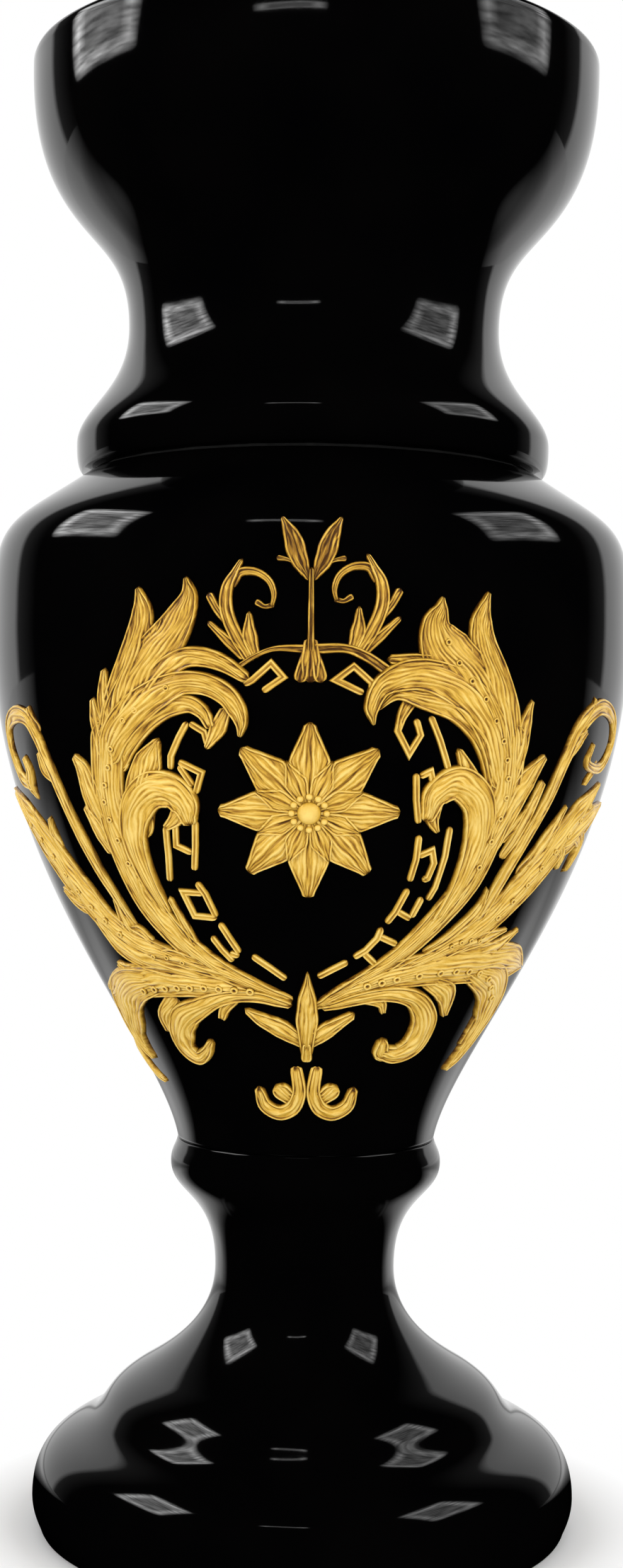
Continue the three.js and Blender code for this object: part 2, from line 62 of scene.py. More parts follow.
def camera():
    data = bpy.data.cameras.new("camera")
    data.sensor_width = SENSOR_WIDTH
    data.lens = LENS
    eye = bpy.data.objects.new("camera", data)
    scene.collection.objects.link(eye)
    eye.rotation_mode = "QUATERNION"
    level = Euler((math.pi / 2 + PITCH, 0, -YAW)).to_quaternion()
    eye.rotation_quaternion = level @ Quaternion((0, 0, 1), ROLL)
    eye.location = (0, -CAMERA_DISTANCE, CAMERA_HEIGHT)
    scene.camera = eye


camera()


# Curves in the plane of radius and height, in millimetres


def bend(start, end, handle1, handle2, steps):
    """Points of a curve whose handles stand at shares of the way across and of the rise."""
    span = Vector(end) - Vector(start)
    a = Vector(start) + Vector((handle1[0] * span.x, handle1[1] * span.y))
    b = Vector(start) + Vector((handle2[0] * span.x, handle2[1] * span.y))
    points = []
    for i in range(steps + 1):
        t = i / steps
        s = 1 - t
        points.append(Vector(start) * s**3 + a * 3 * s * s * t + b * 3 * s * t * t + Vector(end) * t**3)
    return points


def sweep(start, end, pull_start, pull_end, steps):
    """A curve that leaves and arrives upright."""
    return bend(start, end, (0, pull_start), (1, 1 - pull_end), steps)


def chain(*runs):
    """Runs of points as one line, without points that lie on each other."""
    points = [Vector(p) for run in runs for p in run]
    kept = points[:1]
    for p in points[1:]:
        if (p - kept[-1]).length > 0.02:
            kept.append(p)
    return kept


def inset(points, wall):
    """The same curve moved towards the axis by the wall."""
    moved = []
    for i, p in enumerate(points):
        along = (points[min(i + 1, len(points) - 1)] - points[max(i - 1, 0)]).normalized()
        moved.append(Vector((p.x - along.y * wall, p.y + along.x * wall)))
    return moved


WALL = 7  # of the pedestal and the body
NECK_WALL = 6
BOLT_HOLE = 5.2  # radius

FOOT = (92.5, 10.5)
CREASE = (71.5, 37.5)
DOME = (56.6, 52.2)
STEM = (30.8, 87)
KNOP = (46.4, 123)
BELLY = (109.1, 174.5)
COLLAR = (81.3, 9.5)
WAIST = (63.9, 50)
RIM = (97.4, 137)

pedestal_outside = chain(
    [(88.6, 0), (89.4, 0.3)],
    sweep((89.8, 1), FOOT, 0.1, 0.5, 10),
    bend(FOOT, CREASE, (0, 0.76), (0.7, 0.75), 30),
    bend(CREASE, DOME, (0.32, 0.36), (0.27, 0.55), 20),
    bend(DOME, STEM, (0.48, 0.21), (1, 0.5), 26),
    sweep(STEM, KNOP, 0.7, 0.3, 28),
    bend(KNOP, (44.2, 131), (0, 0.5), (0.73, 0.63), 12),
)
body_outside = chain(
    bend((44, 0), BELLY, (0.1, 0.19), (1, 0.52), 90),
    bend(BELLY, (78, BODY_H), (0, 0.72), (0.12, 0.62), 60),
)
neck_outside = chain(
    bend((79.3, 0), COLLAR, (0.7, 0.1), (1, 0.37), 12),
    sweep(COLLAR, WAIST, 0.27, 0.56, 30),
    sweep(WAIST, RIM, 0.46, 0.66, 50),
)

# Meshes


def piece(name, bm, slot, *nodes):
    """A finished piece from a bmesh in millimetres, standing for CAD nodes."""
    bmesh.ops.scale(bm, vec=(MM, MM, MM), verts=bm.verts)
    mesh = bpy.data.meshes.new(name)
    bm.to_mesh(mesh)
    bm.free()
    for face in mesh.polygons:
        face.use_smooth = True
    made = bpy.data.objects.new(name, mesh)
    scene.collection.objects.link(made)
    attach(made, "root")
    if nodes:
        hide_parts(*nodes)
    return made


def turned(profile, lift):
    """A closed profile spun round the axis, lifted to its place."""
    bm = bmesh.new()
    corners = [bm.verts.new((p.x, 0, p.y + lift)) for p in profile]
    edges = [bm.edges.new((a, b)) for a, b in zip(corners, corners[1:] + corners[:1])]
    bmesh.ops.spin(bm, geom=corners + edges, cent=(0, 0, 0), axis=(0, 0, 1), angle=2 * math.pi,
                   steps=GIRTH, use_merge=True, use_duplicate=False)
    bmesh.ops.remove_doubles(bm, verts=bm.verts, dist=1e-4)
    bmesh.ops.recalc_face_normals(bm, faces=bm.faces)
    return bm


def pedestal():
    foot_ring, deck = 8, 121
    wall = [p for p in inset(pedestal_outside, WALL) if foot_ring < p.y < deck]
    hole = [(9, 131), (BOLT_HOLE, 130.4), (BOLT_HOLE, 124), (32, 124)]
    top = [(43.6, 131)]
    return turned(chain(pedestal_outside, top, chain(hole, reversed(wall), [(82.8, 0.4), (83.4, 0)])), 0)


def body():
    floor_top, shoulder = 12, 219
    wall = [p for p in inset(body_outside, WALL) if floor_top < p.y < shoulder]
    mouth = [(76.5, BODY_H + 0.1), (66.6, BODY_H), (65.8, BODY_H - 0.6), (65.8, 220)]
    hole = [(33, 10), (BOLT_HOLE, 10), (BOLT_HOLE, 1.3), (37, 1.3), (37, 0)]
    return turned(chain(body_outside, chain(mouth, reversed(wall), hole)), BODY_Z)


def neck_bowl():
    seat = 10.5
    lining = [p for p in inset(neck_outside, NECK_WALL) if p.y > seat]
    lip = [(97.4, 139.2), (97.0, 140.3), (96.2, 140.9), (95.2, 141), (93.6, 141), (92.4, 140.6), (91.6, 139.6)]
    spigot = [(69.3, 8.5), (58, 2), (58, -12), (65, -12), (65, 0)]
    return turned(chain(neck_outside, lip, reversed(lining), spigot), NECK_Z)


# Places on the body, by degrees round it from the front and millimetres up from its foot


def at_height(height):
    """Radius, and the outward direction, of the body at a height."""
    points = body_outside
    low = 0
    high = len(points) - 1
    while high - low > 1:
        middle = (low + high) // 2
        if points[middle].y <= height:
            low = middle
        else:
            high = middle
    along = points[high] - points[low]
    share = (height - points[low].y) / along.y
    radius = points[low].x + along.x * share
    before = points[high] - points[max(low - 1, 0)]
    after = points[min(high + 1, len(points) - 1)] - points[low]
    mean = before.lerp(after, share).normalized()
    return radius, mean.y, -mean.x


def on_body(degrees, height, lift):
    """The point at a lift off the wall."""
    radius, out, up = at_height(height)
    r = radius + lift * out
    turn = math.radians(degrees)
    return Vector((r * math.sin(turn), -r * math.cos(turn), height + lift * up + BODY_Z))


def per_degree(height):
    """Millimetres round the wall in one degree."""
    return math.radians(at_height(height)[0])


def upward(height):
    """How much longer the wall is than it is high."""
    return 1 / max(at_height(height)[1], 0.2)


def spine(path, share):
    """A smooth line through the path's stations."""
    stations = [Vector((a, h * HUNDREDTH)) for a, h in path]
    place = min(share, 0.99999) * (len(stations) - 1)
    i = int(place)
    t = place - i
    p1, p2 = stations[i], stations[i + 1]
    p0 = stations[i - 1] if i > 0 else p1 * 2 - p2
    p3 = stations[i + 2] if i + 2 < len(stations) else p2 * 2 - p1
    d0, d1, d2 = ((b - a).length ** 0.5 for a, b in ((p0, p1), (p1, p2), (p2, p3)))
    t1 = ((p1 - p0) / d0 - (p2 - p0) / (d0 + d1) + (p2 - p1) / d1) * d1
    t2 = ((p2 - p1) / d1 - (p3 - p1) / (d1 + d2) + (p3 - p2) / d2) * d1
    a = p1 * 2 - p2 * 2 + t1 + t2
    b = p2 * 3 - p1 * 3 - t1 * 2 - t2
    return a * t**3 + b * t * t + t1 * t + p1


def width_at(widths, share):
    place = share * (len(widths) - 1)
    i = min(int(place), len(widths) - 2)
    return widths[i] + (widths[i + 1] - widths[i]) * (place - i)


def smooth(x):
    x = min(max(x, 0), 1)
    return x * x * (3 - 2 * x)


# Raised gold, in degrees and hundredths of the body's height

SUNK = -0.2  # its edges stand this far inside the glaze
RIM_H = 1.25
GROOVE_H = 0.85
CROWN_H = 1.75
RIM_REACH = 0.6  # from the edge in to the top of the rolled rim
GROOVE_REACH = 1.25  # from the edge in to the bottom of the groove behind it
RIM_SHADE = 0.8
FULL_CROWN = 5  # half width from which the crown has all its height
FULL_COMB = 3  # half width from which the combed lines have all their depth
COMB_RUN_IN = 0.8
COMB_PITCH = 1.5
COMB_DEPTH = 0.22
ROOT_RUN = 5  # along which a finger rises out of what carries it
ROOT_H = 0.35  # share of its height that a finger has at its root
ACROSS_STEP = 0.56  # size of a face across a leaf and along it
ALONG_STEP = 1.1
LENGTH_STEPS = 40
NEARBY = 0.004  # share of a path over which its heading is taken
NO_END = 99  # stands for a rounded end that is far off
GRAINS = 97  # ways the gilding's grain can fall on a leaf


def cross_section(gap, half, tall, ridge):
    """Height and painted light and shade of a leaf at a gap from its edge: rolled rim, groove, combed crown, bright
    on the rim and the combed ridges, dark in the groove and between the ridges.
    """
    rim = min(RIM_REACH, half * 0.45)
    groove = min(GROOVE_REACH, half * 0.8)
    if gap < rim:
        t = gap / rim
        return SUNK + (RIM_H * tall - SUNK) * math.sin(t * math.pi / 2) ** 0.8, RIM_SHADE * t
    if gap < groove:
        t = smooth((gap - rim) / max(groove - rim, 0.01))
        return tall * (RIM_H + (GROOVE_H - RIM_H) * t), RIM_SHADE * (1 - t)
    run = max(half - groove, 0.01)
    rise = (CROWN_H - GROOVE_H) * min(half / FULL_CROWN, 1)
    t = smooth((gap - groove) / run)
    fade = min((gap - groove) / COMB_RUN_IN, 1) * min(half / FULL_COMB, 1)
    height = GROOVE_H + rise * t + COMB_DEPTH * ridge * fade
    return tall * height, 0.3 + 0.5 * (0.5 + 0.5 * ridge) ** 0.7 * min(t + 0.5, 1)


def run_of(path):
    """How long a path is on the wall, in millimetres."""
    length = 0
    before = spine(path, 0)
    for i in range(1, LENGTH_STEPS + 1):
        p = spine(path, i / LENGTH_STEPS)
        mean = (p.y + before.y) / 2
        length += math.hypot((p.x - before.x) * per_degree(mean), (p.y - before.y) * upward(mean))
        before = p
    return length


def combing(v, along, lines):
    """How far the combed lines drift aside and how high they stand, at a place across and along a leaf."""
    drift = 0.3 * math.sin(along / 5.3 + 2.1 * v) + 0.2 * math.sin(along / 2.1 + 5 * v)
    ridge = math.cos(2 * math.pi * (v * lines + drift)) * (0.8 + 0.2 * math.sin(7 * v + along / 3.7))
    return drift, ridge


def close_underneath(bm, edge_of):
    """Join the two long edges of a strip, on which these vertices are."""
    sides = dict.fromkeys(e for v in edge_of for e in v.link_edges if e.other_vert(v) in edge_of)
    bmesh.ops.bridge_loops(bm, edges=[e for e in sides if edge_of[e.verts[0]] == edge_of[e.verts[1]]])


def blade(bm, path, width, tall=1.0, base=0.0, root=True, crease=0.0, deep=0.0):
    """A leaf or stroke along a path, with a rolled rim, combed lines and rounded ends, closed underneath.

    Base lifts all but its edges, root lets it rise out of what carries it, crease draws a fold along its middle
    and paints it darker there as shade, and deep colours the gold darker inside the rim.
    """
    painted_relief_shade, lift, leaf = bm.verts.layers.float["painted_relief_shade"], bm.verts.layers.float["lift"], bm.verts.layers.int["leaf"]
    comb_place = bm.verts.layers.float_vector["comb"]
    number = len(bm.verts)
    length = run_of(path)
    widest = max(width) * HUNDREDTH
    columns = max(8, 2 * round(widest / ACROSS_STEP))
    rows = max(12, round(length / ALONG_STEP))
    lines = max(1, round(widest / 2 / COMB_PITCH))
    start_cap = width[0] * HUNDREDTH / 2 / length
    end_cap = width[-1] * HUNDREDTH / 2 / length
    made = bmesh.ops.create_grid(bm, x_segments=rows, y_segments=columns, size=0.5)["verts"]
    edge_of = {}
    for vert in made:
        v = vert.co.y * 2
        u = (vert.co.x + 0.5) * (1 + start_cap + end_cap) - start_cap
        share = min(max(u, 0), 1)
        half = width_at(width, share) * HUNDREDTH / 2
        beyond = u - share
        cap = start_cap if beyond < 0 else end_cap
        if beyond:
            half *= math.sqrt(max(0, 1 - (beyond / cap) ** 2))
        p = spine(path, share)
        t = spine(path, min(share + NEARBY, 1)) - spine(path, max(share - NEARBY, 0))
        across, up = per_degree(p.y), upward(p.y)
        along = Vector((t.x * across, t.y * up)).normalized()
        x = p.x + along.x * beyond * length / across
        y = p.y + along.y * beyond * length / up
        x += along.y * v * half / across
        y -= along.x * v * half / up
        end_gap = min(u + start_cap, 1 + end_cap - u) * length if beyond else NO_END
        gap = (1 - abs(v)) * half
        drift, ridge = combing(v, share * length, lines)
        height, shade = cross_section(min(gap, end_gap + 0.001), max(half, 0.01), tall, ridge)
        if gap > RIM_REACH:
            shade -= deep
        if crease:
            dip = math.exp(-((v * half / 0.7) ** 2)) * min(half / FULL_COMB, 1)
            height -= crease * dip
            shade -= crease * dip
        if root:
            rise = smooth((u * length + 0.5) / ROOT_RUN)
            height = SUNK + (height - SUNK) * (ROOT_H + (1 - ROOT_H) * rise)
        if height > SUNK + 0.05:
            height += base * smooth(gap / 0.5)
        vert.co = on_body(x, y, height)
        vert[painted_relief_shade] = shade
        vert[lift] = height
        vert[leaf] = number
        vert[comb_place] = (v * (half + widest / 2) / 2 + 1.2 * drift, u * length, number % GRAINS)
        if abs(abs(v) - 1) < 1e-6:
            edge_of[vert] = round(v)
    close_underneath(bm, edge_of)


# Each leaf is a path of (degrees, hundredths), its widths in hundredths, and how far it stands over the others.
# Both halves are drawn to the right, and the left half is turned over when it is set.
TRUNK_RIGHT = [
    ([(4, 23.4), (14, 27), (21.5, 30.4), (28, 35), (33, 40.2), (35.2, 46), (36.4, 52), (35.6, 59)],
     [1.6, 2.4, 3, 3.8, 4.6, 5, 5.4, 6.4], 0.05),
]
# Upper acanthus of the right side: two tips, the ledge, the drooping head, its lower fold, its spur, and a finger
TOP_RIGHT = [
    ([(36, 56), (33.2, 63.5), (30.8, 68), (28.4, 72.4), (28, 75.6), (29.3, 79.3)], [5.6, 6, 5.4, 4.4, 3.4, 0.6], 0.1),
    ([(34.5, 57), (31, 63), (26.4, 67.6), (21.6, 71.4), (20, 74.6), (20.7, 76.8), (21, 78.3)],
     [5, 6.2, 7.4, 7.6, 4.6, 2.2, 0.5], 0.4),
    ([(24, 68.4), (18, 69.8), (12.9, 69.9)], [3, 2.2, 1.5], 0.3),
    ([(34.6, 55), (30.5, 61.8), (24, 66.6), (17.2, 68.1), (12, 66.8), (9.9, 63.8), (10.3, 61.3)],
     [4, 5.2, 5.4, 4.8, 4.2, 2.9, 2.2, 0.4], 0.9),
    ([(34, 54), (30, 60), (24.2, 63.6), (18.6, 64.8), (14.2, 65.4), (10.6, 63.2)],
     [3.4, 3.8, 3.6, 3.4, 2.6, 1.6, 0.5], 0.45),
    ([(16.2, 64.4), (15, 62.6), (14.5, 60.8)], [2.2, 1.6, 1.1], 0),
    ([(37, 53), (38.4, 58.6), (38.7, 62.4), (39.5, 65.2)], [2.4, 2.6, 2.2, 0.5], 0),
]
# Upper acanthus of the left side, which is laid a little differently
TOP_LEFT = [
    ([(36.5, 56), (34.6, 60.5), (32.4, 65), (30, 69.4), (28.3, 73), (27.7, 76.5), (28.5, 79.3)],
     [5, 5.4, 5.4, 4.8, 4.4, 3.2, 0.9], 0.1),
    ([(35, 57), (32.7, 62.4), (30.4, 65.2), (27.6, 68.3), (25, 71), (22.6, 73.2), (20.6, 75.8), (19.5, 78.2),
      (20, 80.5)], [5, 6, 6, 6, 6, 5.4, 4.2, 2.6, 0.7], 0.4),
    ([(24.8, 71.4), (24.1, 73.8), (23.7, 75.6)], [2, 1.6, 0.4], 0.3),
    ([(30, 62.5), (26.5, 66), (23.3, 68.6), (20, 70), (17, 70), (13.9, 69.2), (10.6, 67.5)],
     [3, 3.4, 3.4, 3, 2.8, 2.5, 1.8], 0.75),
    ([(35.9, 57.9), (32.8, 61), (28.8, 63.6), (24.7, 65.5), (20.5, 66.7), (16.8, 66.5), (13.6, 65.2), (11.8, 63.2),
      (11.1, 61.4), (11.4, 59.7)], [4.4, 5, 5, 4.4, 3.4, 3.2, 3.1, 2.8, 1.9, 0.7], 1.1),
    ([(34, 56.6), (30.8, 59.4), (27, 62), (23.1, 63.6), (19.8, 63.9), (17.6, 62.9), (16.5, 61.2)],
     [3, 3, 3, 3, 2.6, 2.2, 1.6], 0.45),
    ([(14, 62.6), (15.1, 60.7), (17.2, 58.2)], [1.9, 2.6, 1], 0.2),
    ([(37.2, 56), (37.7, 59.5), (38.2, 62), (38.4, 64.5)], [2.4, 2.6, 2.4, 1.3], 0),
    ([(35.6, 60), (36, 65), (35.5, 68.4)], [2.6, 2.4, 1.2], 0.05),
]
SIDE_RIGHT = [
    # fingers up the outside of the trunk
    ([(35, 43.6), (38.6, 50.4), (41.3, 54.4), (44.6, 57.5)], [4, 4.2, 3.8, 1.3], 0),
    ([(39.4, 46.2), (41.6, 48.8), (43, 50.6)], [1.6, 1.3, 0.4], 0),
    # inner acanthus with its curled head, upright tip and hanging lip
    ([(27.6, 34), (31.4, 40.4), (32.6, 46.6), (30.6, 51.8), (26, 53.9), (22.4, 52.4), (21.4, 49.6)],
     [2, 3, 4.4, 5.2, 5.2, 4.8, 4, 2.4], 0.75),
    ([(31.6, 49), (28.8, 54.2), (25.8, 58)], [2.4, 3.2, 1.2], 0.1),
    ([(22.4, 51), (22.4, 49), (23.8, 47.2)], [3, 2.2, 0.8], 0.15),
    # side plume with its fingers
    ([(19, 27), (32, 30.6), (41, 34), (48, 38.6), (54.4, 43.6), (61, 49), (69, 54.4)],
     [1.8, 2.8, 4.4, 5.2, 6.2, 6.6, 5.6, 0.4], 0.1),
    ([(48, 41.6), (52.2, 46.6), (55.5, 51)], [3.2, 2.8, 0.5], 0),
    ([(58.5, 45), (67, 48.6), (75, 51.6)], [4.6, 5, 3.6, 0.3], 0.45),
    ([(63, 47.4), (67.4, 45.6), (65.4, 41.3)], [3.2, 2.6, 0.4], 0.7),
    ([(57.4, 46), (60.4, 44.2), (60.6, 41.7)], [2.6, 2.8, 0.5], 0.1),
    ([(27.5, 30.4), (33.5, 33.3), (38, 36.6), (38.6, 39.4)], [1.2, 1.8, 1.8, 0.5], 0.2),
    # tendril with its bud, spur and scroll, and the two stalks beside it
    ([(38.5, 33.5), (41.5, 40), (44.5, 45.6), (48.2, 51.6), (51, 57.6), (54.8, 62.8), (60.8, 65), (67.6, 63.6),
      (70, 59.8), (65.6, 56.4), (59.2, 57), (60, 59.8)],
     [1.8, 2.2, 2.4, 2.3, 2.4, 2.9, 2.6, 2, 1.9, 1.8, 1.5, 0.5], 0.15),
    ([(52, 57.4), (54.2, 60.2), (56.3, 61.4)], [1.6, 2.2, 0.9], 0.1),
    ([(55.4, 61.8), (57, 64), (57.6, 66.3)], [1.6, 1.6, 0.3], 0.05),
    ([(64.5, 56.8), (62, 55.4), (60.4, 54.2)], [1.5, 1.3, 1.1], 0),
    ([(40.6, 44), (43.6, 49.6), (45.5, 53.8)], [1.8, 2.2, 1.6], 0),
    ([(44.6, 46.2), (47.2, 49.2), (49.2, 50.9)], [1.6, 1.3, 0.4], 0),
    # lower spray: stem, hooked leaf with its knob, small lobe, hanging plume, long comb and upper finger
    ([(2.6, 22.7), (9, 24.6), (18, 26.8), (31, 28.2), (45, 28.6), (58, 28.2), (70, 27.2)],
     [1.4, 3, 4.4, 5.4, 6.8, 7.2, 6.2, 0.6], 0),
    ([(4.6, 22.6), (12, 23.9), (21, 24.6), (28.6, 23.6), (33.8, 20.4), (33, 16.9), (27.8, 15.5), (23.6, 15.8)],
     [1.4, 2.2, 2.6, 3.2, 4.4, 4.2, 3.2, 2.6], 0.6),
    ([(25.4, 15.4), (22.7, 15.8), (22.4, 17.1)], [2.6, 2.6, 2], 0.9),
    ([(15.2, 23.6), (19.2, 23.2), (20.4, 21.8)], [1.8, 1.8, 0.9], 0.1),
    ([(31.4, 26), (37.6, 24.4), (40.6, 21)], [2.6, 3.8, 1.2], 0.15),
    ([(44, 27.4), (55.4, 25), (60.6, 20.6), (59.2, 16.6), (56.6, 14.2), (53, 12.5)],
     [4, 6.6, 7, 4.6, 3.2, 2.2, 1], 0.6),
    ([(57, 22), (56.4, 18.8), (54.6, 16)], [2.4, 1.9, 0.5], 0.1),
    ([(42, 29.8), (49.4, 31.1), (54.9, 33.3)], [2.8, 2.6, 0.6], 0.1),
    ([(34, 30.4), (43, 32.2), (50, 33.4)], [1.6, 2.6, 0.6], 0.1),
]
# Trunk and side of the left half, laid a little further out
SIDE_LEFT = [
    # trunk, with a thin leaf along its inner edge
    ([(4.7, 23.6), (14.6, 26), (21.9, 28.2), (27, 30.5), (31.5, 33.6), (34.6, 37), (36.4, 41), (37.6, 46), (38, 52),
      (36.4, 59)], [1.6, 2.6, 3.4, 4, 4.4, 5, 5.4, 5.6, 5.6, 6], 0.05),
    ([(24.6, 30), (27.2, 34), (29.2, 37.6)], [1.2, 1.4, 0.9], 0),
    # fingers up the outside of the trunk
    ([(41, 47.5), (42.4, 52), (43.3, 55.2), (44.8, 56.9)], [4, 4, 3, 1.4], 0),
    ([(41.5, 44.5), (43, 47.5), (44.8, 50)], [2.6, 2.4, 1.2], 0),
    # inner acanthus with its curled head, upright tip and hanging lip
    ([(31, 36), (33.6, 42), (34, 46.5), (31.8, 50.4), (28, 52.6), (24.4, 52.4), (22.2, 50.6), (21.8, 48.8)],
     [2, 3.2, 4.4, 5.4, 5.6, 5.2, 4.4, 2.6], 0.75),
    ([(32.6, 48), (30.4, 53), (28.2, 56.4), (26.3, 58.9)], [5, 5.2, 4.4, 1.4], 0.1),
    ([(23.4, 49.6), (24.8, 48.4), (26.4, 47.6)], [3, 2.2, 1.4], 0.15),
    # side plume with its lobe and finger
    ([(20, 27.6), (33, 29.4), (42, 31), (49.5, 33.8), (54.5, 37.4), (59, 41), (64, 45), (70, 49), (76, 52)],
     [2, 3, 4.4, 5, 6.4, 7, 7, 5.4, 2], 0.1),
    ([(24, 26.4), (34, 27.8), (42, 29), (48.4, 30.8), (53.4, 34)], [2.4, 3.2, 4.4, 4.6, 2.4], 0.05),
    ([(55, 35.6), (61, 37), (64.6, 38.2)], [3.6, 3, 1.2], 0),
    ([(42, 31.6), (43.6, 35), (44.4, 37.4)], [3.4, 2.4, 0.8], 0),
    ([(58, 44.5), (58.4, 46.6), (58.2, 48.4)], [2, 1.8, 0.8], 0.3),
    # tendril with the tail of its scroll, its bud and spur, and the small curl at its root
    ([(41.5, 33.5), (43.6, 37.5), (46, 41), (48.3, 45.5), (50.5, 50), (52.3, 54), (54.2, 57.7), (55.6, 60),
      (58.4, 62.6), (62.9, 63.2), (67.6, 62), (69, 59.5), (68.2, 56.5), (66, 54), (62.5, 53)],
     [1.6, 1.6, 1.9, 2.3, 2, 2, 2.1, 2.2, 2.6, 2.8, 2.2, 2, 2.2, 2.4, 1.6], 0.15),
    ([(61.5, 51.2), (62.2, 53.2), (61.4, 55.2), (62.4, 57)], [0.9, 2.8, 2, 1.2], 0.3),
    ([(53, 53.4), (55.4, 55.4), (56, 57.6)], [1.2, 1.8, 0.9], 0.05),
    ([(55.4, 61), (56.4, 62.4), (57, 63.8)], [2, 1.9, 1.2], 0.05),
    ([(44, 32.6), (40.4, 33), (37.6, 31.6)], [1.6, 1.8, 1.4], 0),
    # lower spray: stem, upper stem, hooked leaf, its two lobes, hanging plume, long comb and upper finger
    ([(4.8, 22.8), (14, 24.6), (24, 25.4), (34, 25.6), (44, 25.4), (54, 24.8), (64, 23)],
     [1.4, 3, 4.2, 5, 5.6, 5.4, 4], 0),
    ([(17, 26.6), (25, 28), (33, 29.4), (39, 29.3)], [2, 2.6, 3, 1.2], 0.2),
    ([(4.9, 22.9), (10.6, 24), (17, 24.2), (23.3, 23.5), (29, 22.2), (35.6, 20.4), (39, 18), (39.2, 15.8),
      (35.8, 14.5), (32, 15.4), (29.6, 16.8)], [1.4, 2, 2.2, 2.6, 3.4, 4.6, 4.4, 3.4, 2.6, 2, 1.3], 0.6),
    ([(38.5, 22.2), (43.2, 20.2), (43.8, 18.3)], [3.4, 2.8, 1.7], 0.15),
    ([(19.4, 23.2), (22, 22.1), (23.3, 20.9)], [1.8, 1.8, 1.5], 0.1),
    ([(42, 25.4), (51, 24.6), (58, 22.6), (61.5, 20), (64, 17.2), (63, 15), (60.4, 13.4)],
     [4.4, 6.4, 7.4, 7, 5, 3, 0.8], 0.6),
    ([(76, 16), (72, 13), (66, 10.6), (61, 9.8)], [1.6, 2, 1.8, 0.8], 0),
    ([(46.5, 26.6), (50, 26.8), (53.2, 27.7)], [3, 2.6, 1.2], 0.1),
]
# Small pieces in and round the wreath
TOP_SCROLL = [
    ([(7.6, 70.9), (9.8, 74), (11.2, 77.2), (11, 80), (9.8, 82), (8.8, 83.5)], [2, 2, 2, 1.8, 1.2, 0.7], 0.1),
    ([(10.2, 80.4), (8.8, 82), (6.6, 82), (4.6, 81), (3.6, 79.2), (3.9, 77.4)], [1.3, 1.3, 1.2, 1, 0.9, 0.5], 0),
    ([(3.9, 77.6), (5, 77.4), (6.1, 77.9)], [0.8, 0.7, 1], 0),
    ([(6.6, 71.1), (7.4, 73.6), (7.5, 76.6)], [1.6, 2.3, 0.7], 0),
    ([(10.8, 75), (12.6, 77), (13.8, 78.8)], [1, 1.2, 1.3], 0),
    ([(8.6, 71), (11, 73), (13.9, 75.3)], [1.4, 1.5, 0.9], 0),
]
DROP_SCROLL = [
    ([(3.2, 13), (2.5, 9.7), (5, 7.4), (10, 6.6), (15, 7.7), (16.2, 9.8)], [1.9, 2.2, 2.5, 2.6, 2.4, 1.7], 0),
    ([(5, 8.6), (8.2, 9.9)], [2.5, 2.9], 0.35),
]
HALF_BUD = [
    ([(0.4, 80.2), (2, 83), (3.2, 86), (4.7, 88.4)], [0.7, 2.4, 2.9, 2, 0.6], 0),
    ([(1.2, 81.4), (3.5, 82.7), (5.1, 83)], [0.5, 0.5, 0.9], 0),
]
BUD_STEM = [
    ([(0, 70.4), (0, 81.6)], [1.1, 0.7], 0.1),
    ([(0, 71.6), (0, 69.6), (0, 67.8)], [2.2, 2.8, 2.4], 0),
]
LEFT_BASE = [
    ([(0.7, 70.6), (1.5, 67.6)], [1.3, 2], 0.15),
    ([(0.6, 71.1), (5.6, 71.1), (8.6, 70.2), (11.2, 68.9)], [1.3, 0.8, 0.7, 0.8], 0),
]
RIGHT_BASE = [
    ([(0.7, 70.6), (1.5, 67.6)], [1.3, 2], 0.15),
    ([(0.6, 71.1), (5.6, 71.2), (8.6, 70.3), (12.6, 68.2)], [1.5, 1.3, 1.5, 1.6], 0),
]
RIGHT_WING = [([(0.8, 17.2), (5.5, 19.2), (11.6, 21.3)], [2.2, 2.9, 1.6], 0)]
LEFT_WING = [([(0.8, 17.2), (7.3, 19.4), (12.3, 20.7), (15.9, 21.9)], [2.2, 3.2, 2.4, 1.1], 0)]
TREFOIL_STEM = [
    ([(0, 15.6), (0, 20.6), (0, 24), (0, 27.6)], [1.8, 3.4, 2.6, 0.3], 0.2),
    ([(0, 14.9), (0, 16.8)], [1.7, 1.5], 0.1),
]
# The broken meander ring: the strokes of each of its pieces
KEYS_RIGHT = [
    [[(8.5, 65.4), (4, 67.1), (6.8, 68.9), (9.8, 66.8), (9.7, 65.4)]],
    [[(14.6, 62), (14.4, 60.6), (16.7, 57.6), (18.4, 60.1), (17.4, 62.2)], [(19.9, 62.6), (22, 59.4), (24.2, 55.6)]],
    [[(18.3, 55), (18.9, 51.5), (19.9, 48.3)], [(19, 54.6), (20.9, 55.3), (21.6, 53.8), (20.9, 52)]],
    [[(20.4, 46.7), (20.6, 43.5), (20, 40.4)], [(20.9, 43.9), (23.5, 44.7), (24.4, 43), (23.7, 40.9), (22.7, 40.5)],
     [(26.3, 47.9), (26.5, 43.9), (25.8, 39.6), (24.7, 37.8)]],
    [[(20, 39.4), (18.2, 36.2), (16.6, 34.6)], [(18.5, 36.3), (21.9, 35.2)], [(23.4, 38.2), (21.9, 35.4)]],
    [[(15.8, 34), (15.2, 32.5), (13, 30.8), (10.4, 29.8)], [(15.5, 32.8), (20, 31.6)], [(12.6, 30.4), (15.8, 28.8)]],
    [[(9.2, 29.2), (2.4, 27)]],
]
